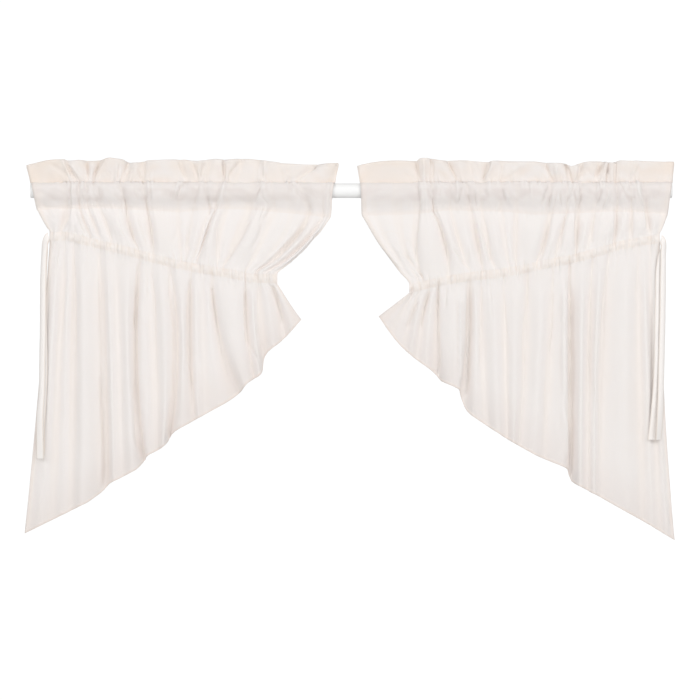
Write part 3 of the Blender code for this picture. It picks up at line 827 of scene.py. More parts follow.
@dataclass
class Weathering:
    """The small folds that lie over a panel's main folds, and how uneven they are.

    Pitches and heights are the least and the most, as shares of a gathering's own. A small fold runs the
    shortest share of the gathering's reach, or up to the longer share further.
    """

    gatherings: tuple[Gathering, ...]
    creases: tuple[Crease, ...]
    seed: int
    pitches: tuple[float, float] = (0.6, 1.4)
    heights: tuple[float, float] = (0.5, 1.5)
    shortest: float = 0.4
    longer: float = 1.4
    half_width: float = 0.56
    fading: float = 1.5
    pinch_margin: float = 1.5
    pinch_reach: float = 6.0
    steps: int = 12
    end_share: float = 0.1
    end_reach: float = 0.4

    def gathered(self, out: np.ndarray, down: np.ndarray, gathering: Gathering, seed: int) -> np.ndarray:
        """The relief of one seam's small folds.

        Args:
            out: For each column, the distance out where the seam crosses it.
            down: For each point, the distance below the seam, or above it where less than 0.
            gathering: The kind of small folds.
            seed: The random seed.

        Returns:
            A height for each point.
        """
        rng = np.random.default_rng(seed)
        relief = np.zeros_like(down)
        pinched = gathering.level == "seam"
        pinch = eased((np.abs(down) + self.pinch_margin) / self.pinch_reach) if pinched else 1.0
        place = out.min()
        while place < out.max():
            pitch = gathering.pitch * rng.uniform(*self.pitches)
            crowded = any(inner <= place <= outer for outer, inner in gathering.groups)
            height = gathering.height * rng.uniform(*self.heights) * (1.0 if crowded else gathering.between)
            above, below = (
                reach * (self.shortest + self.longer * rng.random() ** 2)
                for reach in (gathering.above, gathering.below)
            )
            across = np.clip(np.abs(out - place) / (self.half_width * pitch), 0.0, 1.0)
            ridge = height * np.cos(np.pi / 2 * across)
            past = np.maximum(np.abs(down) - gathering.band, 0.0)
            fade = (1.0 - np.clip(past / np.where(down < 0, above, below), 0.0, 1.0)) ** self.fading
            relief += ridge[None, :] * fade * pinch
            place += pitch
        return relief

    def creased(self, out: np.ndarray, height: np.ndarray) -> np.ndarray:
        """The relief of the listed creases.

        Args:
            out: Distances out of the points.
            height: Heights of the points.

        Returns:
            A height for each point.
        """
        relief = np.zeros_like(out)
        for crease in self.creases:
            marks = np.array(crease.marks, dtype=float)
            places = np.linspace(0.0, len(marks) - 1.0, self.steps * len(marks))
            line = np.stack([curve_point(marks, place) for place in places])
            travel = np.concatenate(([0.0], np.cumsum(np.linalg.norm(np.diff(line, axis=0), axis=1))))
            margin = 2 * CREASE_LIP * crease.reach
            low, high = line.min(axis=0) - margin, line.max(axis=0) + margin
            near = (out > low[0]) & (out < high[0]) & (height > low[1]) & (height < high[1])
            points = np.stack((out[near], height[near]), axis=-1)
            gaps = np.linalg.norm(points[:, None, :] - line[None, :, :], axis=-1)
            along = travel[gaps.argmin(axis=1)]
            from_end = np.minimum(along, travel[-1] - along)
            fade = eased(self.end_share + from_end / min(CREASE_FADE, self.end_reach * travel[-1]))
            gain = np.interp(marks[:, 1].mean(), *zip(*CREASE_GAINS))
            relief[near] += gain * crease.height * fade * trough(gaps.min(axis=1), crease.reach)
        return relief


class PressedZone(NamedTuple):
    """A stretch of rows whose creases are pressed: way is 1 where they fade downwards, -1 upwards."""

    folds: tuple[NamedTuple, ...]
    column: str
    first: int
    last: int
    way: int
    reach: float


@dataclass
class ClothSheet:
    """The whole panel as a fine grid of points, with the places of its seams."""

    panel: Panel
    weathering: Weathering
    points: np.ndarray = field(init=False)
    down: np.ndarray = field(init=False)
    across: np.ndarray = field(init=False)
    along: np.ndarray = field(init=False)
    rows: dict[str, int] = field(init=False)

    def __post_init__(self) -> None:
        """Work the sheet out from the panel."""
        self.across = self.column_shares()
        drape = Drape(self.panel, self.across)
        levels = np.stack([drape.level(level) for level in LEVELS])
        stations, places = self.row_places(levels)
        base = flow(levels, stations, places)
        self.down = self.lengths(base)
        self.along = self.across[None, :] * PANEL_WIDTH + np.zeros_like(self.down)
        normals = self.normals(base)
        relief = self.relief(base)
        self.points = self.off_pole(base + normals * relief[..., None])

    @staticmethod
    def off_pole(points: np.ndarray) -> np.ndarray:
        """Lift what a crease would press into the pole just clear of it.

        Args:
            points: The cloth's points.

        Returns:
            The points, each at least as far out from the pole's axis as it may be.
        """
        nearest = POLE_DIAMETER / 2 + POLE_GAP + SINGLE_THICKNESS / 2
        radius = np.maximum(np.hypot(points[..., 1], points[..., 2]), 1.0)
        grown = np.maximum(nearest / radius, 1.0)[..., None]
        return points * np.concatenate((np.ones_like(grown), grown, grown), axis=-1)

    def column_shares(self) -> np.ndarray:
        """The shares across the cloth of the mesh's columns.

        Returns:
            Rising shares from 0 to 1, closer together in the side hems.
        """
        hem = np.array(HEM_STEPS) / self.panel.tail_width()
        plain = np.linspace(hem[-1], 1 - hem[-1], COLUMNS - 2 * len(hem) + 2)
        return np.concatenate((hem[:-1], plain, (1 - hem[:-1])[::-1]))

    def row_places(self, levels: np.ndarray) -> tuple[np.ndarray, np.ndarray]:
        """Where the mesh's rows lie.

        Args:
            levels: Points of each level of the cloth.

        Returns:
            The levels' distances down the cloth, and each mesh point's distance down.
        """
        spans = np.linalg.norm(np.diff(levels, axis=0), axis=-1)
        stations = np.concatenate(([0.0], np.cumsum(spans.mean(axis=1))))
        hem = np.array(HEM_STEPS[::-1])[:, None] / spans[-1] * (stations[-1] - stations[-2])
        rows, self.rows = [], {}
        for index, level in enumerate(LEVELS[:-1]):
            for name, place in SEAM_LEVELS.items():
                if place == index:
                    self.rows[name] = len(rows)
            end = stations[index + 1] - (hem[0] if index == len(LEVELS) - 2 else 0.0)
            for step in range(level.rows):
                share = step / level.rows
                rows.append(stations[index] * (1 - share) + end * share + np.zeros(levels.shape[1]))
        rows.extend(stations[-1] - distance for distance in hem)
        return stations, np.stack(rows)

    @staticmethod
    def lengths(points: np.ndarray) -> np.ndarray:
        """Distances down the cloth from its turned edge."""
        steps = np.linalg.norm(np.diff(points, axis=0), axis=-1)
        return np.concatenate((np.zeros((1, points.shape[1])), np.cumsum(steps, axis=0)))

    @staticmethod
    def normals(points: np.ndarray) -> np.ndarray:
        """Directions square to the cloth's right side.

        Args:
            points: Rows of points.

        Returns:
            A direction for each point.
        """
        normal = np.cross(np.gradient(points, axis=0), np.gradient(points, axis=1))
        normal /= np.linalg.norm(normal, axis=-1, keepdims=True)
        return normal if normal[-1, :, 1].mean() > 0 else -normal

    def below(self, seam: str) -> np.ndarray:
        """How far each point lies below a seam, along the cloth."""
        return self.down - self.down[self.rows[seam]]

    def relief(self, base: np.ndarray) -> np.ndarray:
        """How far the small folds and unevenness lift each point off the main folds.

        Args:
            base: The points of the main folds.

        Returns:
            A height for each point.
        """
        total = np.zeros(base.shape[:2])
        seed = self.weathering.seed
        for number, gathering in enumerate(self.weathering.gatherings):
            out = base[self.rows[gathering.level], :, 0]
            total += self.weathering.gathered(out, self.below(gathering.level), gathering, seed + number)
        total += self.pressed_creases()
        rows = np.arange(base.shape[0])[:, None]
        behind = np.where(rows >= self.rows["seam_back"], BACK_SHARE, 0.0)
        creased = self.weathering.creased(base[..., 0], base[..., 2])
        total += creased * np.where(rows >= self.rows["top"], 1.0, behind)
        for number, (height, cell) in enumerate(SWELLS):
            total += height * drift(seed + SWELL_SEED + number, self.along, self.down, cell)
        return total + self.seam_grooves() + self.hem_relief()

    def pressed_creases(self) -> np.ndarray:
        """The narrow bottoms of the main folds, keenest where the cloth is drawn up.

        Returns:
            A height for each point, less than 0 in a crease.
        """
        top, seam, middle = (self.rows[name] for name in ("top", "seam", "middle"))
        panel, last = self.panel, len(self.down) - 1
        total = np.zeros_like(self.down)
        for zone in (
            PressedZone(panel.header_folds, "seam", top, seam, -1, HEADER_PRESSED_REACH),
            PressedZone(panel.swag_folds, "channel", seam, middle, 1, SWAG_PRESSED_REACH),
            PressedZone(panel.tail_folds, "channel", middle, last, 1, TAIL_PRESSED_REACH),
        ):
            for depth in self.pressed(zone):
                total -= depth
        return total

    def pressed(self, zone: PressedZone) -> Iterator[np.ndarray]:
        """The pressed creases of one zone.

        Args:
            zone: The zone.

        Returns:
            For each crease in turn, its depth at each point.
        """
        places = column(zone.folds, zone.column)
        if zone.column == "seam":
            shares = np.interp(-places, -column(self.panel.swag_folds, "top"), self.swag_shares())
        else:
            shares = (places[0] - places) / (places[0] - places[-1])
        start = self.down[zone.first] if zone.way > 0 else self.down[zone.last]
        along = np.abs(self.down - start) / zone.reach
        rows = np.arange(len(self.down))[:, None]
        fade = np.where((rows >= zone.first) & (rows <= zone.last), np.exp(-along**2), 0.0)
        for share, fold in list(zip(shares, zone.folds))[1:-1]:
            gap = (self.across - share) * abs(places[0] - places[-1])
            depth = PRESSED_SHARES[zone.column] * fold.depth * trough(gap, CREASE_WIDTH)
            yield depth[None, :] * fade

    def swag_shares(self) -> np.ndarray:
        """The shares across the cloth of the swag's creases."""
        places = column(self.panel.swag_folds, "channel")
        return (places[0] - places) / (places[0] - places[-1])

    def seam_grooves(self) -> np.ndarray:
        """How far the stitching draws the cloth in along each seam.

        Returns:
            A height for each point, less than 0 at a seam.
        """
        total = np.zeros_like(self.down)
        for name, depth in SEAM_GROOVES.items():
            total -= depth * np.exp(-(self.below(name) / SEAM_GROOVE_REACH) ** 2)
        return total

    def edge_distance(self) -> np.ndarray:
        """How far each point is in from the nearest hemmed edge: the lower edge and the two sides."""
        sides = np.minimum(self.across, 1 - self.across) * self.panel.tail_width()
        return np.minimum(self.down[-1] - self.down, sides[None, :])

    def hem_relief(self) -> np.ndarray:
        """The turned hem's thickness, which stands proud of the cloth, and the groove of its stitching.

        Returns:
            A height for each point.
        """
        inside = self.edge_distance()
        swell = HEM_SWELL * eased((HEM_WIDTH - inside) / HEM_DROP)
        return swell - HEM_GROOVE * np.exp(-((inside - HEM_WIDTH) / HEM_GROOVE_REACH) ** 2)

    def world(self) -> np.ndarray:
        """The points in metres, in the frame."""
        sign = self.panel.side.value
        return self.points * np.array([sign, -1.0, 1.0]) * MM


class Tree:
    """A node tree, with short calls that add nodes and join them."""

    def __init__(self, tree: bpy.types.NodeTree) -> None:
        """Hold a tree."""
        self.tree = tree

    def feed(self, node: bpy.types.Node, inputs: dict[str | int, object]) -> None:
        """Set a node's inputs.

        Args:
            node: The node.
            inputs: For each input, by name or number, a value or the output that feeds it.
        """
        for name, value in inputs.items():
            if isinstance(value, bpy.types.NodeSocket):
                self.tree.links.new(value, node.inputs[name])
            else:
                node.inputs[name].default_value = value

    def node(
        self, kind: str, inputs: dict[str | int, object] | None = None, **settings: object
    ) -> bpy.types.Node:
        """Add a node.

        Args:
            kind: The node's type.
            inputs: What feeds its inputs.
            settings: The node's own settings.

        Returns:
            The node.
        """
        node = self.tree.nodes.new(kind)
        for name, value in settings.items():
            setattr(node, name, value)
        self.feed(node, inputs or {})
        return node

    def maths(self, operation: str, *values: object, clamp: bool = False) -> bpy.types.NodeSocket:
        """Add a Math node and return its output."""
        inputs = dict(enumerate(values))
        return self.node("ShaderNodeMath", inputs, operation=operation, use_clamp=clamp).outputs[0]

    def mixed(self, factor: object, first: object, second: object) -> bpy.types.NodeSocket:
        """Add a colour Mix node and return its output."""
        inputs = {0: factor, 6: first, 7: second}
        return self.node("ShaderNodeMix", inputs, data_type="RGBA", blend_type="MIX").outputs[2]

    def noise(
        self, place: bpy.types.NodeSocket, scale: tuple[float, ...], detail: float = 2.0
    ) -> bpy.types.NodeSocket:
        """Add noise with its own scale along each axis.

        Args:
            place: The coordinates to read.
            scale: The repeats for each metre along each axis.
            detail: How fine the noise is.

        Returns:
            The noise, between 0 and 1.
        """
        stretched = self.node("ShaderNodeVectorMath", {0: place, 1: scale}, operation="MULTIPLY").outputs[0]
        inputs = {"Vector": stretched, "Scale": 1.0, "Detail": detail}
        return self.node("ShaderNodeTexNoise", inputs, noise_dimensions="3D").outputs["Fac"]


def new_group(name: str, inputs: dict[str, tuple[str, object]], outputs: dict[str, str]) -> Tree:
    """Start a shader node group.

    Args:
        name: The group's name.
        inputs: For each input, its socket type and its first value.
        outputs: For each output, its socket type.

    Returns:
        The group's tree, with its input and output nodes.
    """
    group = bpy.data.node_groups.new(name, "ShaderNodeTree")
    for label, (kind, value) in inputs.items():
        socket = group.interface.new_socket(label, in_out="INPUT", socket_type=kind)
        if value is not None:
            socket.default_value = value
    for label, kind in outputs.items():
        group.interface.new_socket(label, in_out="OUTPUT", socket_type=kind)
    tree = Tree(group)
    tree.source = group.nodes.new("NodeGroupInput")
    tree.result = group.nodes.new("NodeGroupOutput")
    return tree


def new_material(name: str) -> tuple[bpy.types.Material, Tree, bpy.types.Node]:
    """Start a material.

    Args:
        name: The material's name.

    Returns:
        The material, its tree and its main shader.
    """
    material = bpy.data.materials.new(name)
    material.use_nodes = True
    return material, Tree(material.node_tree), material.node_tree.nodes["Principled BSDF"]


# Slubs: the repeats for each metre of their noise along each axis, and how much of it shows none
SLUBS = (((22.0, 620.0, 0.0), 0.56), ((760.0, 17.0, 3.0), 0.58))
SLUB_GAIN = 4.0
SLUB_HEIGHT = 0.9
THREAD_WOBBLE = 1.6
WOBBLE_SCALE = (90.0, 90.0, 0.0)


def weave_group() -> bpy.types.NodeTree:
    """The plain weave: threads that pass over and under, with slubs where a thread is thick.

    Returns:
        A group that reads the cloth's own coordinates, in metres.
    """
    tree = new_group(
        "plain_weave",
        {"Cloth": ("NodeSocketVector", None), "Threads per Metre": ("NodeSocketFloat", 1600.0)},
        {"Height": "NodeSocketFloat", "Slub": "NodeSocketFloat"},
    )
    cloth, count = tree.source.outputs["Cloth"], tree.source.outputs["Threads per Metre"]
    wobble = tree.noise(cloth, WOBBLE_SCALE, 1.0)
    apart = tree.node("ShaderNodeSeparateXYZ", {0: cloth})
    threads, floors = [], []
    for axis in (0, 1):
        place = tree.maths("MULTIPLY", apart.outputs[axis], count)
        place = tree.maths("ADD", place, tree.maths("MULTIPLY", wobble, THREAD_WOBBLE))
        inside = tree.maths("FRACT", place)
        threads.append(tree.maths("SINE", tree.maths("MULTIPLY", inside, float(np.pi))))
        floors.append(tree.maths("FLOOR", place))
    over = tree.maths("PINGPONG", tree.maths("ADD", floors[0], floors[1]), 1.0)
    weft = tree.maths("MULTIPLY", threads[1], over)
    warp = tree.maths("MULTIPLY", threads[0], tree.maths("SUBTRACT", 1.0, over))
    slubs = []
    for scale, plain in SLUBS:
        thick = tree.maths("SUBTRACT", tree.noise(cloth, scale), plain)
        slubs.append(tree.maths("MULTIPLY", thick, SLUB_GAIN, clamp=True))
    slub = tree.maths("MAXIMUM", *slubs)
    height = tree.maths("ADD", tree.maths("ADD", weft, warp), tree.maths("MULTIPLY", slub, SLUB_HEIGHT))
    tree.feed(tree.result, {"Height": height, "Slub": slub})
    return tree.tree


def tone_group() -> bpy.types.NodeTree:
    """The slow change of tone over a piece, from 0 to 1, as undyed cotton has.

    Returns:
        A group that reads object coordinates.
    """
    tree = new_group(
        "undyed_tone",
        {"Place": ("NodeSocketVector", None), "Swells per Metre": ("NodeSocketFloat", 5.0)},
        {"Tone": "NodeSocketFloat"},
    )
    place, swells = tree.source.outputs["Place"], tree.source.outputs["Swells per Metre"]
    scaled = tree.node("ShaderNodeVectorMath", {0: place, "Scale": swells}, operation="SCALE")
    broad = tree.noise(scaled.outputs[0], (1.0, 1.0, 0.6), 3.0)
    fine = tree.noise(scaled.outputs[0], (9.0, 9.0, 5.0), 3.0)
    tone = tree.maths("ADD", tree.maths("MULTIPLY", broad, 0.7), tree.maths("MULTIPLY", fine, 0.3))
    tree.feed(tree.result, {"Tone": tone})
    return tree.tree


@dataclass(frozen=True)
class CottonFinish:
    """A finish of woven cotton, with darker colours for painted shade; the colours are linear."""

    name: str
    colour: tuple[float, ...]
    # The warm tone of random swings and slubs, also the colour of painted shade in fold bottoms
    warm_tone_and_fold_shade: tuple[float, ...]
    # The colours of painted shade where the cloth lies double and in the pocket over pole and flap; the
    # second also darkens the foot
    thick_cloth_shade: tuple[float, ...]
    pocket_shade_and_foot: tuple[float, ...]
    threads_per_metre: float = 1500.0
    weave_depth: float = 0.00012
    weave_strength: float = 0.6
    tone_middle: float = 0.5
    tone_gain: float = 0.9
    slub_warmth: float = 0.35
    roughness: float = 0.92
    smoother_between: float = 0.05
    sheen: float = 0.15
    sheen_roughness: float = 0.5
    specular: float = 0.2
    see_through: float = 0.25
    scatter: float = 0.0012

    def material(self, weave: bpy.types.NodeTree, tone: bpy.types.NodeTree) -> bpy.types.Material:
        """Build the material.

        Args:
            weave: The weave's node group.
            tone: The slow change of tone's node group.

        Returns:
            The material.
        """
        material, tree, shader = new_material(self.name)
        cloth = tree.node("ShaderNodeUVMap", uv_map="cloth").outputs[0]
        place = tree.node("ShaderNodeTexCoord").outputs["Object"]
        threads = tree.node("ShaderNodeGroup", node_tree=weave)
        tree.feed(threads, {"Cloth": cloth, "Threads per Metre": self.threads_per_metre})
        swell = tree.node("ShaderNodeGroup", node_tree=tone)
        tree.feed(swell, {"Place": place})
        swing = tree.maths("SUBTRACT", swell.outputs["Tone"], self.tone_middle)
        toned = tree.maths("MULTIPLY", swing, self.tone_gain, clamp=True)
        colour = tree.mixed(toned, (*self.colour, 1.0), (*self.warm_tone_and_fold_shade, 1.0))
        # Painted shade: mixed towards darker colours in fold bottoms, in doubled cloth and in the pocket;
        # also a darker foot
        for name, tint in (("painted_fold_shade", self.warm_tone_and_fold_shade), ("thick_cloth_shade", self.thick_cloth_shade), ("pocket_shade_and_foot", self.pocket_shade_and_foot)):
            share = tree.node("ShaderNodeAttribute", attribute_name=name).outputs["Fac"]
            colour = tree.mixed(share, colour, (*tint, 1.0))
        slub = tree.maths("MULTIPLY", threads.outputs["Slub"], self.slub_warmth)
        colour = tree.mixed(slub, colour, (*self.warm_tone_and_fold_shade, 1.0))
        raised = threads.outputs["Height"]
        bump = tree.node("ShaderNodeBump", {"Strength": self.weave_strength, "Distance": self.weave_depth,
                                            "Height": raised})
        rougher = tree.maths("MULTIPLY", raised, self.smoother_between)
        tree.feed(shader, {
            "Base Color": colour,
            "Normal": bump.outputs[0],
            "Roughness": tree.maths("ADD", self.roughness - self.smoother_between, rougher),
            "Sheen Weight": self.sheen,
            "Sheen Roughness": self.sheen_roughness,
            "Specular IOR Level": self.specular,
            "Subsurface Weight": self.see_through,
            "Subsurface Radius": (1.0, 1.0, 1.0),
            "Subsurface Scale": self.scatter,
        })
        return material


@dataclass(frozen=True)
class PaintFinish:
    """Brushed white paint on a wooden pole."""

    name: str
    colour: tuple[float, float, float]
    roughness: float = 0.38
    rougher_strokes: float = 0.12
    stroke_scale: tuple[float, float, float] = (14.0, 420.0, 420.0)
    stroke_depth: float = 0.00006
    stroke_strength: float = 0.35
    cloud_scale: tuple[float, float, float] = (6.0, 30.0, 30.0)
    cloud_shade: float = 0.97

    def material(self) -> bpy.types.Material:
        """Build the material.

        Returns:
            The material.
        """
        material, tree, shader = new_material(self.name)
        place = tree.node("ShaderNodeTexCoord").outputs["Object"]
        strokes = tree.noise(place, self.stroke_scale, 3.0)
        cloud = tree.noise(place, self.cloud_scale, 2.0)
        darker = tuple(self.cloud_shade * value for value in self.colour)
        rougher = tree.maths("MULTIPLY", strokes, self.rougher_strokes)
        bump = tree.node("ShaderNodeBump", {"Strength": self.stroke_strength, "Distance": self.stroke_depth,
                                            "Height": strokes})
        tree.feed(shader, {
            "Base Color": tree.mixed(cloud, (*self.colour, 1.0), (*darker, 1.0)),
            "Roughness": tree.maths("ADD", self.roughness, rougher),
            "Normal": bump.outputs[0],
        })
        return material


def smooth_mesh(name: str, points: np.ndarray, faces: Sequence[Sequence[int]]) -> bpy.types.Mesh:
    """A smooth shaded mesh.

    Args:
        name: The mesh's name.
        points: The points.
        faces: The faces, as indices of points.

    Returns:
        The mesh.
    """
    mesh = bpy.data.meshes.new(name)
    mesh.from_pydata(points.reshape(-1, 3).tolist(), [], faces)
    mesh.polygons.foreach_set("use_smooth", [True] * len(mesh.polygons))
    return mesh


def grid_faces(rows: int, columns: int, turned: bool) -> list[tuple[int, int, int, int]]:
    """The faces of a grid of points.

    Args:
        rows: The number of rows.
        columns: The number of columns.
        turned: Whether the faces are wound the other way round.

    Returns:
        The faces, as indices of points.
    """
    corner = (np.arange(rows - 1)[:, None] * columns + np.arange(columns - 1)[None, :]).ravel()
    faces = np.stack((corner, corner + 1, corner + columns + 1, corner + columns), axis=1)
    return (faces[:, ::-1] if turned else faces).tolist()


def add_uv(mesh: bpy.types.Mesh, along: np.ndarray, down: np.ndarray) -> None:
    """Give a mesh the cloth's own coordinates.

    Args:
        mesh: The mesh.
        along: The distance across the cloth of each point.
        down: Its distance down the cloth.
    """
    layer = mesh.uv_layers.new(name="cloth")
    index = np.zeros(len(mesh.loops), dtype=int)
    mesh.loops.foreach_get("vertex_index", index)
    places = np.stack((along.ravel()[index], down.ravel()[index]), axis=1) * MM
    layer.data.foreach_set("uv", places.astype(np.float32).ravel())


def add_attribute(mesh: bpy.types.Mesh, name: str, values: np.ndarray) -> None:
    """Give a mesh a value at each point."""
    attribute = mesh.attributes.new(name, "FLOAT", "POINT")
    attribute.data.foreach_set("value", values.astype(np.float32).ravel())


def link(name: str, mesh: bpy.types.Mesh, material: bpy.types.Material) -> bpy.types.Object:
    """Put a mesh in the scene.

    Args:
        name: The object's name.
        mesh: The mesh.
        material: The mesh's material.

    Returns:
        The object.
    """
    obj = bpy.data.objects.new(name, mesh)
    bpy.context.scene.collection.objects.link(obj)
    mesh.materials.append(material)
    return obj


def made_plain(obj: bpy.types.Object) -> bpy.types.Object:
    """Turn what an object's modifiers make into its own mesh, and remove them.

    Args:
        obj: The object.

    Returns:
        The same object.
    """
    graph = bpy.context.evaluated_depsgraph_get()
    mesh = bpy.data.meshes.new_from_object(obj.evaluated_get(graph), depsgraph=graph)
    obj.modifiers.clear()
    obj.data = mesh
    return obj


@dataclass
class StitchMaker:
    """Runs of machine stitching, set along lines of points by a node tree."""

    spacing: float = 3.0
    length: float = 2.3
    thickness: float = 0.45
    tree: bpy.types.NodeTree = field(init=False)
    sockets: dict[str, str] = field(init=False)

    def __post_init__(self) -> None:
        """Build the tree."""
        tree = bpy.data.node_groups.new("stitch_run", "GeometryNodeTree")
        self.sockets = {}
        tree.interface.new_socket("Geometry", in_out="INPUT", socket_type="NodeSocketGeometry")
        for name in ("Spacing", "Length", "Thickness"):
            socket = tree.interface.new_socket(name, in_out="INPUT", socket_type="NodeSocketFloat")
            self.sockets[name] = socket.identifier
        socket = tree.interface.new_socket("Thread", in_out="INPUT", socket_type="NodeSocketMaterial")
        self.sockets["Thread"] = socket.identifier
        tree.interface.new_socket("Geometry", in_out="OUTPUT", socket_type="NodeSocketGeometry")
        nodes = Tree(tree)
        source, result = tree.nodes.new("NodeGroupInput"), tree.nodes.new("NodeGroupOutput")
        curve = nodes.node("GeometryNodeMeshToCurve", {"Mesh": source.outputs["Geometry"]})
        steps = nodes.node("GeometryNodeResampleCurve",
                           {"Curve": curve.outputs[0], "Length": source.outputs["Spacing"]}, mode="LENGTH")
        bead = nodes.node("GeometryNodeMeshIcoSphere", {"Radius": 0.5, "Subdivisions": 1})
        across, along = source.outputs["Thickness"], source.outputs["Length"]
        size = nodes.node("ShaderNodeCombineXYZ", {0: across, 1: across, 2: along})
        shaped = nodes.node("GeometryNodeTransform", {"Geometry": bead.outputs[0], "Scale": size.outputs[0]})
        tangent = nodes.node("GeometryNodeInputTangent")
        turn = nodes.node("FunctionNodeAlignRotationToVector", {"Vector": tangent.outputs[0]}, axis="Z")
        inputs = {"Points": steps.outputs[0], "Instance": shaped.outputs[0], "Rotation": turn.outputs[0]}
        placed = nodes.node("GeometryNodeInstanceOnPoints", inputs)
        real = nodes.node("GeometryNodeRealizeInstances", {"Geometry": placed.outputs[0]})
        soft = nodes.node("GeometryNodeSetShadeSmooth", {"Geometry": real.outputs[0]})
        inputs = {"Geometry": soft.outputs[0], "Material": source.outputs["Thread"]}
        dressed = nodes.node("GeometryNodeSetMaterial", inputs)
        tree.links.new(dressed.outputs[0], result.inputs[0])
        self.tree = tree

    def sew(self, name: str, lines: Sequence[np.ndarray], thread: bpy.types.Material) -> bpy.types.Object:
        """Sew along lines.

        Args:
            name: The piece's name.
            lines: Lines of points in the frame, in metres.
            thread: The thread's material.

        Returns:
            The stitches as one plain mesh.
        """
        points, edges = [], []
        for line in lines:
            edges.extend((len(points) + step, len(points) + step + 1) for step in range(len(line) - 1))
            points.extend(line.tolist())
        mesh = bpy.data.meshes.new(name)
        mesh.from_pydata(points, edges, [])
        obj = link(name, mesh, thread)
        maker = obj.modifiers.new("Stitches", "NODES")
        maker.node_group = self.tree
        sizes = {"Spacing": self.spacing, "Length": self.length, "Thickness": self.thickness}
        for label, size in sizes.items():
            maker[self.sockets[label]] = size * MM
        maker[self.sockets["Thread"]] = thread
        return made_plain(obj)


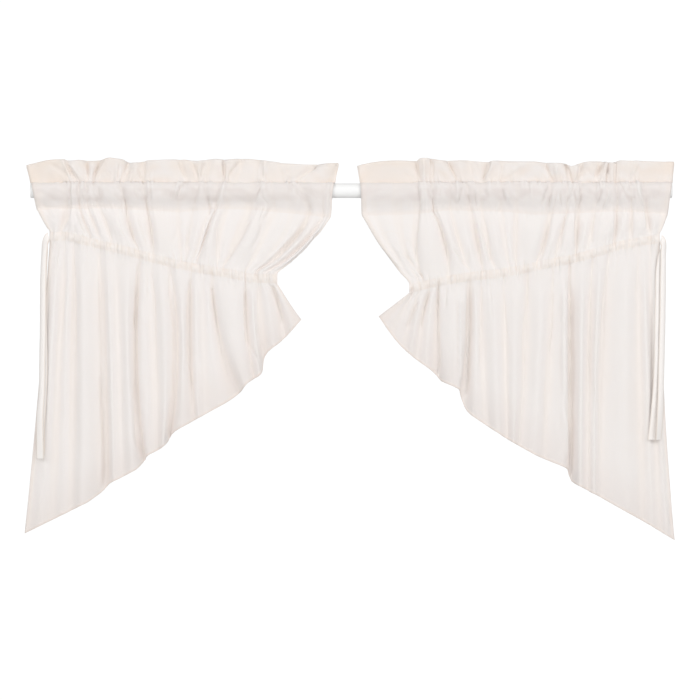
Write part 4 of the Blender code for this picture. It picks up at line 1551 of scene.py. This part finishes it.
@dataclass(frozen=True)
class Shading:
    """Where painted shade goes into a panel's colour, and how strongly: the pocket over pole and flap,
    doubled cloth and the bottoms of folds; and how the tail darkens towards its foot.

    Shades are shares from 0 to 1 and reaches are the distances over which they come in. Broad and narrow
    fold shades each have a width in columns, the depth at which they are strongest, and their shade.
    """

    # The pocket's painted shade: where pole and flap are behind it, deeper in its lower part and in blotches
    pole_shade: float = 0.48
    lower_pole_shade: float = 0.24
    blotch_shade: float = 0.16
    lower_blotch_shade: float = 0.38
    blotch_size: tuple[float, float] = (21.0, 12.0)
    lower_start: float = 24.0
    lower_reach: float = 9.0
    seam_reach: float = 3.5
    clear_of_pole: float = 5.0
    clear_share: float = 0.8
    # How much darker the tail grows towards its foot, and over what reach
    foot_shade: float = 0.55
    foot_reach: float = 130.0
    flap_edge: float = 5.6
    flap_edge_reach: float = 1.2
    flap_shade: float = 0.25
    flap_top: float = 9.0
    flap_top_reach: float = 6.0
    # Painted shade of doubled cloth: the heading, deeper at its ends, the hems, the channel's casing and the
    # flap
    heading_shade: float = 0.4
    heading_cloud: float = 0.3
    heading_end: float = 0.35
    heading_end_reach: float = 90.0
    cloud_size: tuple[float, float] = (34.0, 17.0)
    foot_hem: float = 0.8
    side_hem: float = 0.35
    hem_reach: float = 1.5
    casing_shade: float = 0.34
    casing_mottle: float = 0.24
    mottle_size: tuple[float, float] = (11.0, 9.0)
    casing_margin: float = 1.0
    casing_reach: float = 3.0
    # Painted shade in the bottoms of folds, broad and narrow
    broad: tuple[float, float, float] = (9.0, 5.0, 0.12)
    narrow: tuple[float, float, float] = (2.0, 0.8, 0.2)

    def above_flap_edge(self, sheet: ClothSheet) -> np.ndarray:
        """Where the cloth lies above the lower edge of the flap behind it, from 0 to 1."""
        return eased((self.flap_edge - sheet.below("pocket")) / self.flap_edge_reach)

    def pocket_shade_and_foot(self, sheet: ClothSheet) -> np.ndarray:
        """Painted shade in the pocket over pole and flap, deeper low down and in blotches; a darker foot.

        Args:
            sheet: The panel's sheet of cloth.

        Returns:
            A share from 0 to 1 for each point.
        """
        rows = np.arange(sheet.down.shape[0])[:, None]
        below_seam = sheet.below("seam")
        lifted = np.hypot(sheet.points[..., 1], sheet.points[..., 2]) - POCKET_RADIUS - POCKET_PUFF / 2
        lower = eased((below_seam - self.lower_start) / self.lower_reach)
        blotch_shade = drift(sheet.weathering.seed + BLOTCH_SEED, sheet.along, sheet.down, self.blotch_size)
        blotched = (self.blotch_shade + self.lower_blotch_shade * lower) * blotch_shade
        shade = self.pole_shade + self.lower_pole_shade * lower + blotched
        pole = eased(below_seam / self.seam_reach) * shade
        pole = pole * (1.0 - self.clear_share * eased(lifted / self.clear_of_pole))
        foot = self.foot_shade * eased(1.0 - (sheet.down[-1] - sheet.down) / self.foot_reach)
        pocket = np.where(rows >= sheet.rows["seam"], pole * self.above_flap_edge(sheet), 0.0)
        return np.maximum(foot, pocket)

    def thick_cloth_shade(self, sheet: ClothSheet) -> np.ndarray:
        """Painted shade where doubled cloth lets less light through: the heading, the channel and the hems.

        Args:
            sheet: The panel's sheet of cloth.

        Returns:
            A share from 0 to 1 for each point.
        """
        rows = np.arange(sheet.down.shape[0])[:, None]
        seed = sheet.weathering.seed
        side = np.minimum(sheet.across, 1 - sheet.across)[None, :] * PANEL_WIDTH
        cloud = drift(seed + CLOUD_SEED, sheet.along, sheet.down, self.cloud_size)
        end = self.heading_end * eased(1.0 - side / self.heading_end_reach)
        heading = self.heading_shade + self.heading_cloud * cloud + end
        heading = np.where(rows <= sheet.rows["seam"], np.clip(heading, 0.0, 1.0), 0.0)
        foot = eased((HEM_WIDTH - (sheet.down[-1] - sheet.down)) / self.hem_reach)
        edge = eased((HEM_WIDTH - sheet.edge_distance()) / self.hem_reach)
        hem = np.maximum(self.foot_hem * foot, self.side_hem * edge)
        mottle = drift(seed + MOTTLE_SEED, sheet.along, sheet.down, self.mottle_size)
        inside = CHANNEL_HALF_HEIGHT + self.casing_margin - np.abs(sheet.below("middle"))
        casing = (self.casing_shade + self.casing_mottle * mottle) * eased(inside / self.casing_reach)
        upper_edge = eased((self.flap_top + sheet.below("pocket")) / self.flap_top_reach)
        flap = self.flap_shade * self.above_flap_edge(sheet) * upper_edge
        return np.maximum.reduce((heading, hem, casing, flap))

    def painted_fold_shade(self, sheet: ClothSheet) -> np.ndarray:
        """Painted shade in the bottoms of folds, from how deep in a fold each point lies.

        Args:
            sheet: The panel's sheet of cloth.

        Returns:
            A share from 0 to 1 for each point.
        """
        forward = sheet.points[..., 1]
        total = np.zeros_like(forward)
        for reach, deepest, share in (self.broad, self.narrow):
            depth = np.stack([soften(row, reach) for row in forward]) - forward
            total += share * np.clip(depth / deepest, 0.0, 1.0)
        return total


@dataclass
class DrapePanel:
    """One panel of cloth with its stitching."""

    name: str
    node: str
    slot: str
    panel: Panel
    weathering: Weathering
    finish: bpy.types.Material
    thread: bpy.types.Material
    hem_step: float = 1.2
    thread_clearance: float = 0.05

    def build(self, stitches: StitchMaker) -> list[bpy.types.Object]:
        """Make the cloth and its stitches, hang them on the root and hide the model's part in their place.

        Args:
            stitches: What sews the seams.

        Returns:
            The pieces.
        """
        sheet = ClothSheet(self.panel, self.weathering)
        cloth = self.cloth(sheet)
        sewn = stitches.sew(self.name + "_stitches", self.seam_lines(sheet), self.thread)
        for piece in (cloth, sewn):
            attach(piece, BODY)
        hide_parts(self.node)
        return [cloth, sewn]

    def cloth(self, sheet: ClothSheet) -> bpy.types.Object:
        """The cloth, with its thickness, its own coordinates and its finish's masks of painted shade.

        Args:
            sheet: The panel's sheet of cloth.

        Returns:
            The piece.
        """
        points = sheet.world()
        rows, columns = points.shape[:2]
        mesh = smooth_mesh(self.name, points, grid_faces(rows, columns, self.panel.side is Side.RIGHT))
        add_uv(mesh, sheet.along, sheet.down)
        # Masks of painted shade: the pocket and the foot, doubled cloth, and fold bottoms
        shading = Shading()
        add_attribute(mesh, "pocket_shade_and_foot", shading.pocket_shade_and_foot(sheet))
        add_attribute(mesh, "thick_cloth_shade", shading.thick_cloth_shade(sheet))
        add_attribute(mesh, "painted_fold_shade", shading.painted_fold_shade(sheet))
        obj = link(self.name, mesh, self.finish)
        turned = (HEM_WIDTH + self.hem_step / 2 - sheet.edge_distance()) / self.hem_step
        turned = np.clip(turned, 0.0, 1.0).ravel()
        group = obj.vertex_groups.new(name="turned_hem")
        for index in np.flatnonzero(turned > 0):
            group.add([int(index)], float(turned[index]), "REPLACE")
        wall = obj.modifiers.new("Thickness", "SOLIDIFY")
        wall.thickness = DOUBLED_THICKNESS * MM
        wall.offset = 0.0
        wall.vertex_group = "turned_hem"
        wall.thickness_vertex_group = SINGLE_THICKNESS / DOUBLED_THICKNESS
        return made_plain(obj)

    def seam_lines(self, sheet: ClothSheet) -> list[np.ndarray]:
        """The lines that the stitching follows, just off the cloth.

        Args:
            sheet: The panel's sheet of cloth.

        Returns:
            Lines of points in the frame, on the cloth's right side and on its wrong side.
        """
        points = sheet.world()
        normals = sheet.normals(sheet.points) * np.array([self.panel.side.value, -1.0, 1.0])
        lift = (SINGLE_THICKNESS / 2 + self.thread_clearance) * MM
        lines = []
        for name in ("seam_back", "seam", "pocket", "upper", "lower"):
            row = sheet.rows[name]
            lines.append(points[row] + normals[row] * lift)
            if name in ("pocket", "upper", "lower"):
                lines.append(points[row] - normals[row] * lift)
        left = HEM_STEPS.index(HEM_STITCHED)
        hem, right = (size - 1 - left for size in points.shape[:2])
        down = slice(sheet.rows["pocket"], hem)
        for way in (1, -1):
            for place in ((hem, slice(left, right)), (down, left), (down, right)):
                lines.append(points[place] + way * normals[place] * lift)
        return lines


@dataclass
class TapeEnd:
    """One free end of a drawstring: flat cotton tape, half turned and curled across, cut square."""

    name: str
    node: str
    side: Side
    marks: tuple[TapeMark, ...]
    seed: int
    width: float = 19.0
    thickness: float = 0.8
    step: float = 3.0
    columns: int = 13
    curl: float = 58.0
    flat_curl: float = 1.0
    flat_share: float = 0.09
    curling_share: float = 0.16
    uncurling_share: float = 0.25
    swells: tuple[tuple[float, tuple[float, float]], ...] = ((0.25, (26.0, 30.0)), (0.12, (7.0, 9.0)))
    selvedge_lift: float = 0.3
    selvedge_share: float = 0.4

    def build(self, finish: bpy.types.Material) -> list[bpy.types.Object]:
        """Make the tape, hang it on the root and hide the model's tie in its place.

        Args:
            finish: The tape's material.

        Returns:
            The piece.
        """
        centre = np.array([(mark.out, mark.forward, mark.height) for mark in self.marks])
        tips = np.radians([(mark.slant, mark.turn) for mark in self.marks])
        length = float(np.sum(np.linalg.norm(np.diff(centre, axis=0), axis=1)))
        steps = int(length / self.step)
        sections = np.stack([self.section(centre, tips, row / steps) for row in range(steps + 1)])
        down = np.arange(steps + 1)[:, None] * (length / steps) + np.zeros((1, self.columns))
        along = np.linspace(-0.5, 0.5, self.columns)[None, :] * self.width + np.zeros_like(down)
        lift = np.zeros_like(down)
        for number, (height, cell) in enumerate(self.swells):
            lift += height * drift(self.seed + number, down, along, cell)
        lift += self.selvedge_lift * (np.abs(along) / (self.width / 2)) ** 6
        points = sections + ClothSheet.normals(sections) * lift[..., None]
        points = points * np.array([self.side.value, -1.0, 1.0]) * MM
        mesh = smooth_mesh(self.name, points, grid_faces(steps + 1, self.columns, self.side is Side.RIGHT))
        add_uv(mesh, along, down)
        # Painted shade along the tape's edges
        add_attribute(mesh, "thick_cloth_shade", 1.0 * (np.abs(along) > self.width * self.selvedge_share))
        obj = link(self.name, mesh, finish)
        wall = obj.modifiers.new("Thickness", "SOLIDIFY")
        wall.thickness = self.thickness * MM
        wall.offset = 0.0
        made_plain(obj)
        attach(obj, BODY)
        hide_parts(self.node)
        return [obj]

    def section(self, centre: np.ndarray, tips: np.ndarray, share: float) -> np.ndarray:
        """The tape's section at one place.

        Args:
            centre: The points of its centre line.
            tips: The slant and turn at each of them.
            share: The share of the way down the tape.

        Returns:
            A line of points across the tape.
        """
        place = share * (len(self.marks) - 1)
        slant, turn = curve_point(tips, place)
        across = np.array([np.cos(slant) * np.cos(turn), -np.sin(turn), np.sin(slant) * np.cos(turn)])
        facing = np.array([np.cos(slant) * np.sin(turn), np.cos(turn), np.sin(slant) * np.sin(turn)])
        curling = eased((share - self.flat_share) / self.curling_share)
        uncurling = eased((1.0 - share) / self.uncurling_share)
        curl = np.radians(self.flat_curl + self.curl * curling * uncurling)
        radius = self.width / (2 * curl)
        angles = np.linspace(curl, -curl, self.columns)[:, None]
        arc = across * np.sin(angles) + facing * (np.cos(angles) - np.sin(curl) / curl)
        return curve_point(centre, place) + arc * radius


@dataclass
class Pole:
    """The round pole that both panels hang on."""

    sides: int = 96
    edge: float = 1.2
    edge_steps: int = 3
    edge_angle: float = 40.0
    sharp_angle: float = 35.0

    def build(self, finish: bpy.types.Material) -> list[bpy.types.Object]:
        """Make the pole, hang it on the root and hide the model's pole in its place.

        Args:
            finish: The paint.

        Returns:
            The piece.
        """
        bpy.ops.mesh.primitive_cylinder_add(vertices=self.sides, radius=POLE_DIAMETER / 2 * MM,
                                            depth=POLE_LENGTH * MM, rotation=(0.0, np.pi / 2, 0.0))
        pole = bpy.context.object
        pole.name = "pole"
        bpy.ops.object.transform_apply(location=True, rotation=True, scale=True)
        pole.data.materials.append(finish)
        rim = pole.modifiers.new("Eased ends", "BEVEL")
        rim.width = self.edge * MM
        rim.segments = self.edge_steps
        rim.limit_method = "ANGLE"
        rim.angle_limit = np.radians(self.edge_angle)
        made_plain(pole)
        pole.data.shade_smooth()
        pole.data.set_sharp_from_angle(angle=np.radians(self.sharp_angle))
        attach(pole, BODY)
        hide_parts("curtain_pole")
        return [pole]


class Lamp(NamedTuple):
    """A soft square light: its place, power and size, in metres and watts."""

    name: str
    place: tuple[float, float, float]
    power: float
    size: float


LAMPS = listed(
    Lamp,
    ("soft_light_left", (-2.3, -2.2, 0.5), 20.0, 1.3),
    ("soft_light_right", (2.3, -2.2, 0.5), 19.0, 1.3),
    ("soft_light_front", (0.0, -4.0, 0.1), 22.0, 2.4),
    ("soft_light_top", (0.0, -1.5, 1.45), 7.5, 1.6),
    ("key_light", (3.4, -4.4, 1.4), 20.0, 1.6),
)


@dataclass
class Studio:
    """A pale floor, soft lights and a camera square on to the drapes; sizes in metres."""

    centre: Vector = field(default_factory=lambda: Vector((-0.003, -0.012, -0.383)))
    view_width: float = 1.68
    distance: float = 6.0
    sensor_width: float = 36.0
    sky: float = 0.455
    seen_sky: float = 1.05
    floor_height: float = -1.32
    floor_half_width: float = 1.6
    floor_front: float = -1.5
    floor_back: float = 0.42

    def build(self) -> None:
        """Set the studio up."""
        self.world()
        self.floor()
        for lamp in LAMPS:
            self.light(lamp)
        self.camera()

    def world(self) -> None:
        """A white surround: pure white to the eye, softer as a light."""
        world = bpy.data.worlds.new("white_surround")
        bpy.context.scene.world = world
        world.use_nodes = True
        tree = Tree(world.node_tree)
        seen = tree.node("ShaderNodeLightPath").outputs["Is Camera Ray"]
        strength = tree.maths("ADD", self.sky, tree.maths("MULTIPLY", seen, self.seen_sky - self.sky))
        back = world.node_tree.nodes["Background"]
        tree.feed(back, {"Color": (1.0, 1.0, 1.0, 1.0), "Strength": strength})

    def floor(self) -> None:
        """A plain pale floor, a little way below the longest tail."""
        mesh = bpy.data.meshes.new("floor")
        side, front, back = self.floor_half_width, self.floor_front, self.floor_back
        corners = [(-side, front), (side, front), (side, back), (-side, back)]
        mesh.from_pydata([(x, y, self.floor_height) for x, y in corners], [], [(0, 1, 2, 3)])
        material, tree, shader = new_material("pale_floor")
        tree.feed(shader, {"Base Color": (0.93, 0.93, 0.92, 1.0), "Roughness": 0.8})
        link("floor", mesh, material)

    def light(self, lamp: Lamp) -> None:
        """Hang a soft square light that faces the drapes.

        Args:
            lamp: Its place, power and size.
        """
        light = bpy.data.lights.new(lamp.name, "AREA")
        light.energy = lamp.power
        light.size = lamp.size
        obj = bpy.data.objects.new(lamp.name, light)
        bpy.context.scene.collection.objects.link(obj)
        obj.location = Vector(lamp.place)
        aim = self.centre - Vector(lamp.place)
        obj.rotation_euler = aim.to_track_quat("-Z", "Y").to_euler()

    def camera(self) -> None:
        """The camera, square on and far enough back to look almost flat."""
        lens = bpy.data.cameras.new("camera")
        lens.sensor_width = self.sensor_width
        lens.lens = lens.sensor_width * self.distance / self.view_width
        camera = bpy.data.objects.new("camera", lens)
        bpy.context.scene.collection.objects.link(camera)
        camera.location = self.centre - Vector((0.0, self.distance, 0.0))
        camera.rotation_euler = (np.pi / 2, 0.0, 0.0)
        bpy.context.scene.camera = camera
        bpy.context.scene.view_settings.view_transform = "Standard"


# Finishes: each one's own colour and warm tone, then the darker colours of painted shade
LEFT_COTTON = CottonFinish("left_cotton", (0.923, 0.876, 0.852), (0.92, 0.83, 0.76),
                           thick_cloth_shade=(0.905, 0.805, 0.725), pocket_shade_and_foot=(0.838, 0.772, 0.74))
RIGHT_COTTON = CottonFinish("right_cotton", (0.912, 0.868, 0.844), (0.92, 0.83, 0.76),
                            thick_cloth_shade=(0.905, 0.805, 0.73), pocket_shade_and_foot=(0.838, 0.772, 0.745))
TAPE_COTTON = CottonFinish("drawstring_tape", (0.98, 0.94, 0.91), (0.97, 0.91, 0.86),
                           thick_cloth_shade=(0.93, 0.86, 0.80), pocket_shade_and_foot=(0.87, 0.81, 0.77), threads_per_metre=1900.0,
                           sheen=0.3, see_through=0.0)
THREAD = CottonFinish("sewing_thread", (0.91, 0.85, 0.80), (0.89, 0.81, 0.74),
                      thick_cloth_shade=(0.88, 0.82, 0.77), pocket_shade_and_foot=(0.86, 0.80, 0.75))
POLE_PAINT = PaintFinish("white_pole_paint", (0.985, 0.985, 0.98))

LEFT_CREASES = creases(
    (-1.2, 5.0, (728, 64), (704, 52), (680, 37)), (-2.0, 3.0, (689, 75), (680, 54), (670, 28)),
    (2.2, 4.0, (677, 68), (663, 49), (650, 28)), (-1.6, 3.0, (640, 72), (634, 54), (632, 30)),
    (-2.4, 3.2, (594, 77), (610, 54), (622, 28)), (-1.0, 3.0, (601, 47), (586, 42), (574, 29)),
    (-1.9, 3.0, (555, 68), (560, 42), (562, 20)), (-1.8, 3.2, (514, 59), (531, 49), (550, 32)),
    (-1.6, 3.0, (514, 56), (507, 35), (501, 14)), (-1.8, 2.8, (497, 75), (497, 49), (500, 16)),
    (-2.1, 3.0, (416, 76), (409, 54), (398, 28)), (2.0, 4.0, (399, 66), (385, 42), (376, 26)),
    (-1.5, 3.0, (384, 72), (373, 47), (365, 20)), (-2.1, 3.0, (348, 76), (358, 52), (363, 18)),
    (1.5, 4.0, (321, 70), (313, 44), (310, 24)), (-1.8, 3.0, (307, 74), (305, 49), (305, 16)),
    (-1.5, 3.5, (264, 74), (284, 49), (299, 28)), (-1.1, 3.0, (212, 70), (214, 49), (214, 26)),
    (1.3, 3.0, (170, 62), (157, 40), (151, 22)), (-1.6, 3.0, (162, 60), (150, 37), (146, 16)),
    (-1.7, 4.0, (78, 61), (111, 42), (141, 24)), (-2.8, 3.2, (669, 19), (675, 0), (674, -35), (686, -84)),
    (-1.4, 2.8, (648, 4), (641, -35), (627, -107)), (1.2, 3.0, (622, 16), (616, 2), (611, -22)),
    (-1.3, 2.8, (605, 11), (606, -4), (605, -20)),
    (-1.6, 3.0, (558, 18), (549, -8), (541, -35), (538, -76), (520, -126)),
    (-1.3, 2.8, (517, 16), (519, -1), (511, -25)),
    (-1.5, 3.0, (506, 14), (497, -11), (490, -42), (483, -83), (476, -140)),
    (-1.4, 3.0, (481, 8), (481, -11), (483, -32)), (-2.8, 2.8, (391, 21), (405, 13), (413, -2), (417, -20)),
    (-2.2, 3.0, (365, 19), (368, 1), (377, -32), (387, -83), (398, -146)),
    (-2.7, 2.8, (354, 20), (349, -6), (341, -36), (342, -68)),
    (0.5, 3.2, (304, 20), (313, -8), (325, -36), (346, -85), (360, -130), (370, -172)),
    (1.4, 3.0, (330, -40), (334, -54), (338, -68)), (-1.3, 4.0, (326, -52), (322, -107), (317, -172)),
    (-1.9, 3.0, (216, 17), (224, -4), (234, -32)), (-1.7, 3.0, (219, -2), (209, -20), (196, -38)),
    (-1.9, 3.0, (153, 18), (149, 1), (159, -26)), (-2.1, 3.0, (146, 19), (135, 1), (124, -20)),
    (-2.5, 4.0, (96, -28), (111, -80), (140, -114), (176, -148), (228, -192)),
    (-1.5, 4.0, (189, -34), (200, -54), (213, -73)), (-1.9, 3.5, (241, -68), (267, -119), (306, -180)),
    (-1.5, 4.0, (217, -56), (219, -100), (244, -146)), (-2.4, 3.2, (78, -98), (109, -143), (166, -188)),
    (1.3, 6.0, (72, -59), (111, -110), (171, -167)), (-2.1, 2.8, (662, -40), (651, -71), (636, -112)),
    (1.1, 3.0, (637, -47), (625, -76), (615, -105)), (-1.5, 3.0, (560, -38), (557, -76), (536, -128)),
    (-1.0, 3.0, (603, -45), (589, -83), (573, -122)), (-1.3, 3.0, (512, -56), (502, -90), (488, -138)),
    (-0.9, 4.0, (399, -52), (416, -90), (431, -133)), (1.1, 4.0, (380, -47), (385, -83), (387, -133)),
    (-1.0, 3.0, (747, -23), (723, -56), (706, -80)), (-1.2, 6.0, (759, -6), (730, -12), (700, -32)),
    (-1.2, 5.0, (458, -14), (438, -8), (424, -24)), (-1.3, 6.0, (298, -10), (276, -20), (246, -34)),
    (-1.3, 5.0, (108, 2), (92, -10), (66, -14)), (-1.6, 3.0, (699, -131), (703, -160), (706, -191)),
    (-1.0, 5.0, (685, -172), (692, -263), (697, -347)), (-1.2, 4.0, (670, -131), (665, -215), (663, -371)),
    (-1.3, 4.0, (608, -143), (605, -239), (603, -335), (598, -491)),
    (-2.2, 3.2, (512, -172), (516, -239), (521, -335)), (-1.1, 3.0, (490, -186), (488, -263)),
    (-1.3, 3.5, (483, -191), (473, -263), (471, -371), (469, -455)),
    (-1.5, 3.2, (435, -186), (437, -239), (428, -335), (428, -491)),
    (-1.8, 3.2, (385, -210), (392, -263), (392, -383), (382, -483)),
    (-1.8, 3.0, (337, -227), (329, -287), (315, -371), (286, -479)),
    (-2.8, 2.8, (255, -239), (255, -299), (250, -371)), (-1.4, 3.5, (231, -263), (224, -359)),
    (-2.8, 3.5, (191, -224), (178, -263), (166, -325)), (-1.8, 3.0, (245, -371), (226, -402), (219, -419)),
    (1.4, 6.0, (497, -299), (490, -400), (488, -560)), (1.0, 6.0, (372, -240), (368, -400)),
    (-2.6, 6.0, (603, -455), (596, -551), (593, -671), (598, -712)),
    (-2.4, 5.0, (519, -455), (517, -575), (512, -611), (502, -630)), (-1.2, 4.0, (433, -491), (440, -599)),
    (-0.8, 6.0, (742, -650), (738, -767)),
)
RIGHT_CREASES = creases(
    (-2.3, 3.0, (158, 73), (160, 49), (165, 22)), (1.7, 4.0, (175, 74), (175, 49), (175, 26)),
    (-1.9, 3.0, (194, 74), (196, 49), (193, 20)), (-1.7, 3.0, (231, 70), (244, 47), (257, 20)),
    (-1.6, 3.5, (296, 72), (304, 54), (307, 32)), (-2.3, 3.0, (334, 74), (326, 49), (313, 20)),
    (1.5, 4.0, (341, 68), (331, 44), (320, 24)), (-1.3, 3.0, (362, 65), (362, 42), (357, 16)),
    (-1.3, 4.0, (412, 56), (386, 37), (362, 24)), (-2.0, 3.0, (469, 66), (477, 40), (488, 16)),
    (-2.5, 3.0, (512, 68), (523, 44), (531, 14)), (1.9, 4.0, (490, 64), (494, 42), (494, 22)),
    (1.5, 3.0, (543, 66), (539, 42), (536, 20)), (-2.1, 3.0, (560, 68), (549, 44), (544, 14)),
    (-1.3, 3.0, (553, 42), (568, 47), (584, 30)), (-2.1, 3.0, (612, 74), (597, 52), (584, 28)),
    (1.9, 4.0, (591, 68), (583, 49), (579, 32)), (-1.0, 3.0, (620, 66), (615, 44), (609, 20)),
    (-2.3, 2.8, (635, 74), (633, 47), (633, 16)), (0.9, 4.0, (687, 68), (679, 49), (673, 35)),
    (-1.1, 5.0, (110, 60), (127, 44), (148, 23)),
    (-2.5, 2.8, (158, 20), (160, -6), (165, -34), (160, -83), (155, -158)),
    (-0.7, 3.0, (181, 6), (196, -30), (213, -76), (225, -119), (238, -176)),
    (-1.5, 2.8, (224, 9), (213, 1), (212, -15)), (-1.5, 3.0, (231, 1), (244, -20), (260, -40)),
    (-2.7, 2.8, (269, 14), (263, -8), (255, -35)), (-2.3, 2.8, (270, 3), (280, -16), (291, -32)),
    (-2.5, 3.0, (297, 0), (297, -23), (303, -45)), (-1.7, 2.8, (301, -18), (316, -4), (333, -18)),
    (-1.9, 2.8, (361, 18), (364, -4), (370, -28)), (2.5, 2.8, (363, 10), (374, -16), (385, -40)),
    (-0.3, 3.0, (286, -36), (297, -83), (312, -176)), (1.3, 4.0, (306, -40), (316, -90), (327, -174)),
    (-1.3, 3.0, (313, -56), (326, -100), (336, -174)), (1.1, 4.0, (356, -48), (362, -83), (370, -146)),
    (-1.1, 4.0, (395, -56), (396, -107), (391, -175)), (-2.5, 3.0, (476, 14), (465, -13), (454, -43)),
    (2.1, 3.0, (485, 0), (482, -23), (471, -58)),
    (-2.0, 3.0, (495, 0), (484, -47), (472, -100), (465, -131), (454, -170)),
    (-2.3, 2.8, (501, 0), (501, -20), (507, -43)), (-2.5, 3.0, (531, 11), (525, -8), (517, -28)),
    (-2.3, 2.8, (534, -3), (539, -23), (542, -45)), (2.3, 2.8, (542, 19), (544, -6), (544, -28)),
    (-2.3, 2.8, (549, -3), (550, -25), (541, -50)), (-1.5, 3.0, (542, -50), (539, -90), (542, -146)),
    (1.5, 3.0, (535, -56), (532, -90), (535, -130)), (-2.5, 2.8, (598, 5), (595, -18), (584, -39)),
    (1.5, 2.8, (592, 16), (590, 1), (582, -14)), (1.9, 2.8, (622, 4), (614, -23), (603, -50)),
    (-1.5, 3.0, (612, -20), (604, -40), (596, -64)),
    (0.8, 2.8, (631, 4), (636, -23), (639, -49), (637, -83), (637, -112)),
    (1.2, 2.8, (628, -38), (629, -71), (626, -105)), (-2.1, 3.0, (642, 19), (652, 1), (660, -16)),
    (-1.7, 3.0, (657, -15), (671, -23), (683, -10)), (2.1, 2.8, (687, 0), (700, -37), (706, -94)),
    (-1.5, 3.0, (706, -38), (710, -66), (710, -98)), (-1.5, 3.0, (677, -44), (674, -76), (674, -117)),
    (-1.3, 3.0, (586, -50), (580, -83), (578, -134)), (-1.3, 3.0, (516, -56), (508, -95), (501, -150)),
    (-2.3, 3.2, (44, -106), (81, -152), (124, -198)), (-2.3, 3.2, (127, -147), (151, -181), (177, -214)),
    (1.5, 4.0, (96, -123), (127, -164), (153, -193)), (-1.9, 3.0, (241, -136), (259, -155), (277, -187)),
    (-1.0, 3.0, (280, -116), (281, -143), (280, -175)), (-1.2, 6.0, (60, -24), (93, -13), (120, 3)),
    (-1.3, 5.0, (392, 2), (404, -12), (430, -14)), (-1.2, 5.0, (560, 2), (570, -10), (566, -32)),
    (-1.3, 5.0, (744, 0), (733, -12), (720, -26)),
    (-1.9, 5.5, (280, -210), (283, -263), (280, -323), (278, -491)), (2.6, 5.0, (262, -263), (261, -455)),
    (-2.6, 3.5, (208, -227), (208, -311), (211, -407), (206, -443)), (-1.2, 3.0, (230, -227), (225, -287)),
    (-3.0, 3.2, (148, -227), (143, -256)), (-2.5, 3.5, (189, -239), (175, -287), (165, -335)),
    (-2.2, 3.5, (160, -263), (146, -299), (131, -335)), (-1.3, 3.5, (314, -227), (311, -335), (309, -431)),
    (-1.0, 3.0, (333, -215), (338, -311)), (-0.9, 3.0, (364, -227), (376, -371)),
    (-1.3, 4.0, (422, -191), (422, -263), (412, -359), (415, -431)),
    (-1.4, 3.0, (484, -179), (482, -311), (472, -407)), (3.2, 6.5, (512, -239), (511, -400), (514, -640)),
    (-1.9, 3.8, (525, -172), (525, -263), (528, -491), (528, -690)),
    (-1.3, 3.5, (580, -155), (573, -287), (568, -455)), (-1.3, 4.0, (621, -143), (609, -239), (602, -335)),
    (-1.0, 3.0, (688, -172), (683, -263)), (-1.0, 5.0, (580, -455), (585, -575)),
    (-1.0, 5.0, (465, -455), (467, -575)), (-1.6, 3.5, (765, -755), (770, -815)),
)


def gatherings(groups: tuple[tuple[float, float], ...], panel: Panel) -> tuple[Gathering, ...]:
    """The small folds that a panel's drawn-up seams make.

    Args:
        groups: The outer and inner ends of the stretches where the pocket's gathers crowd together.
        panel: The panel.

    Returns:
        The seams' gatherings, from the pocket to the channel.
    """
    whole = ((panel.channel[0].out, panel.channel[-1].out),)
    return listed(
        Gathering,
        ("seam", 9.5, 4.2, 30.0, 44.0, 1.0, groups, 0.35),
        ("seam", 5.5, 1.1, 16.0, 24.0, 1.0, groups, 0.4),
        ("seam_back", 9.0, 1.2, 18.0, 18.0, 0.0, groups, 0.4),
        ("pocket", 10.0, 2.0, 20.0, 40.0, 0.0, groups, 0.3),
        ("middle", 7.0, 2.4, 16.0, 18.0, 9.0, whole, 1.0),
        ("upper", 14.0, 1.7, 60.0, 8.0, 0.0, whole, 1.0),
        ("lower", 14.0, 1.7, 8.0, 50.0, 0.0, whole, 1.0),
    )


LEFT_WEATHERING = Weathering(gatherings(LEFT_GROUPS, LEFT_PANEL), LEFT_CREASES, seed=11)
RIGHT_WEATHERING = Weathering(gatherings(RIGHT_GROUPS, RIGHT_PANEL), RIGHT_CREASES, seed=31)


def main() -> None:
    """Build the drapes and the studio."""
    Studio().build()
    weave, tone = weave_group(), tone_group()
    thread = THREAD.material(weave, tone)
    tape = TAPE_COTTON.material(weave, tone)
    stitches = StitchMaker()
    parts = [
        Pole().build(POLE_PAINT.material()),
        DrapePanel("left_panel", "left_swag", "left_cotton", LEFT_PANEL, LEFT_WEATHERING,
                   LEFT_COTTON.material(weave, tone), thread).build(stitches),
        DrapePanel("right_panel", "right_swag", "right_cotton", RIGHT_PANEL, RIGHT_WEATHERING,
                   RIGHT_COTTON.material(weave, tone), thread).build(stitches),
        TapeEnd("left_front_tape", "left_tie_front", Side.LEFT, LEFT_TIE_FRONT, 61).build(tape),
        TapeEnd("left_back_tape", "left_tie_back", Side.LEFT, LEFT_TIE_BACK, 62).build(tape),
        TapeEnd("right_front_tape", "right_tie_front", Side.RIGHT, RIGHT_TIE_FRONT, 63).build(tape),
        TapeEnd("right_back_tape", "right_tie_back", Side.RIGHT, RIGHT_TIE_BACK, 64).build(tape),
    ]
    for pieces in parts:
        for piece in pieces:
            log.info("%s: %d faces", piece.name, len(piece.data.polygons))


if __name__ == "__main__":
    logging.basicConfig(level=logging.INFO, format="%(message)s")
    main()
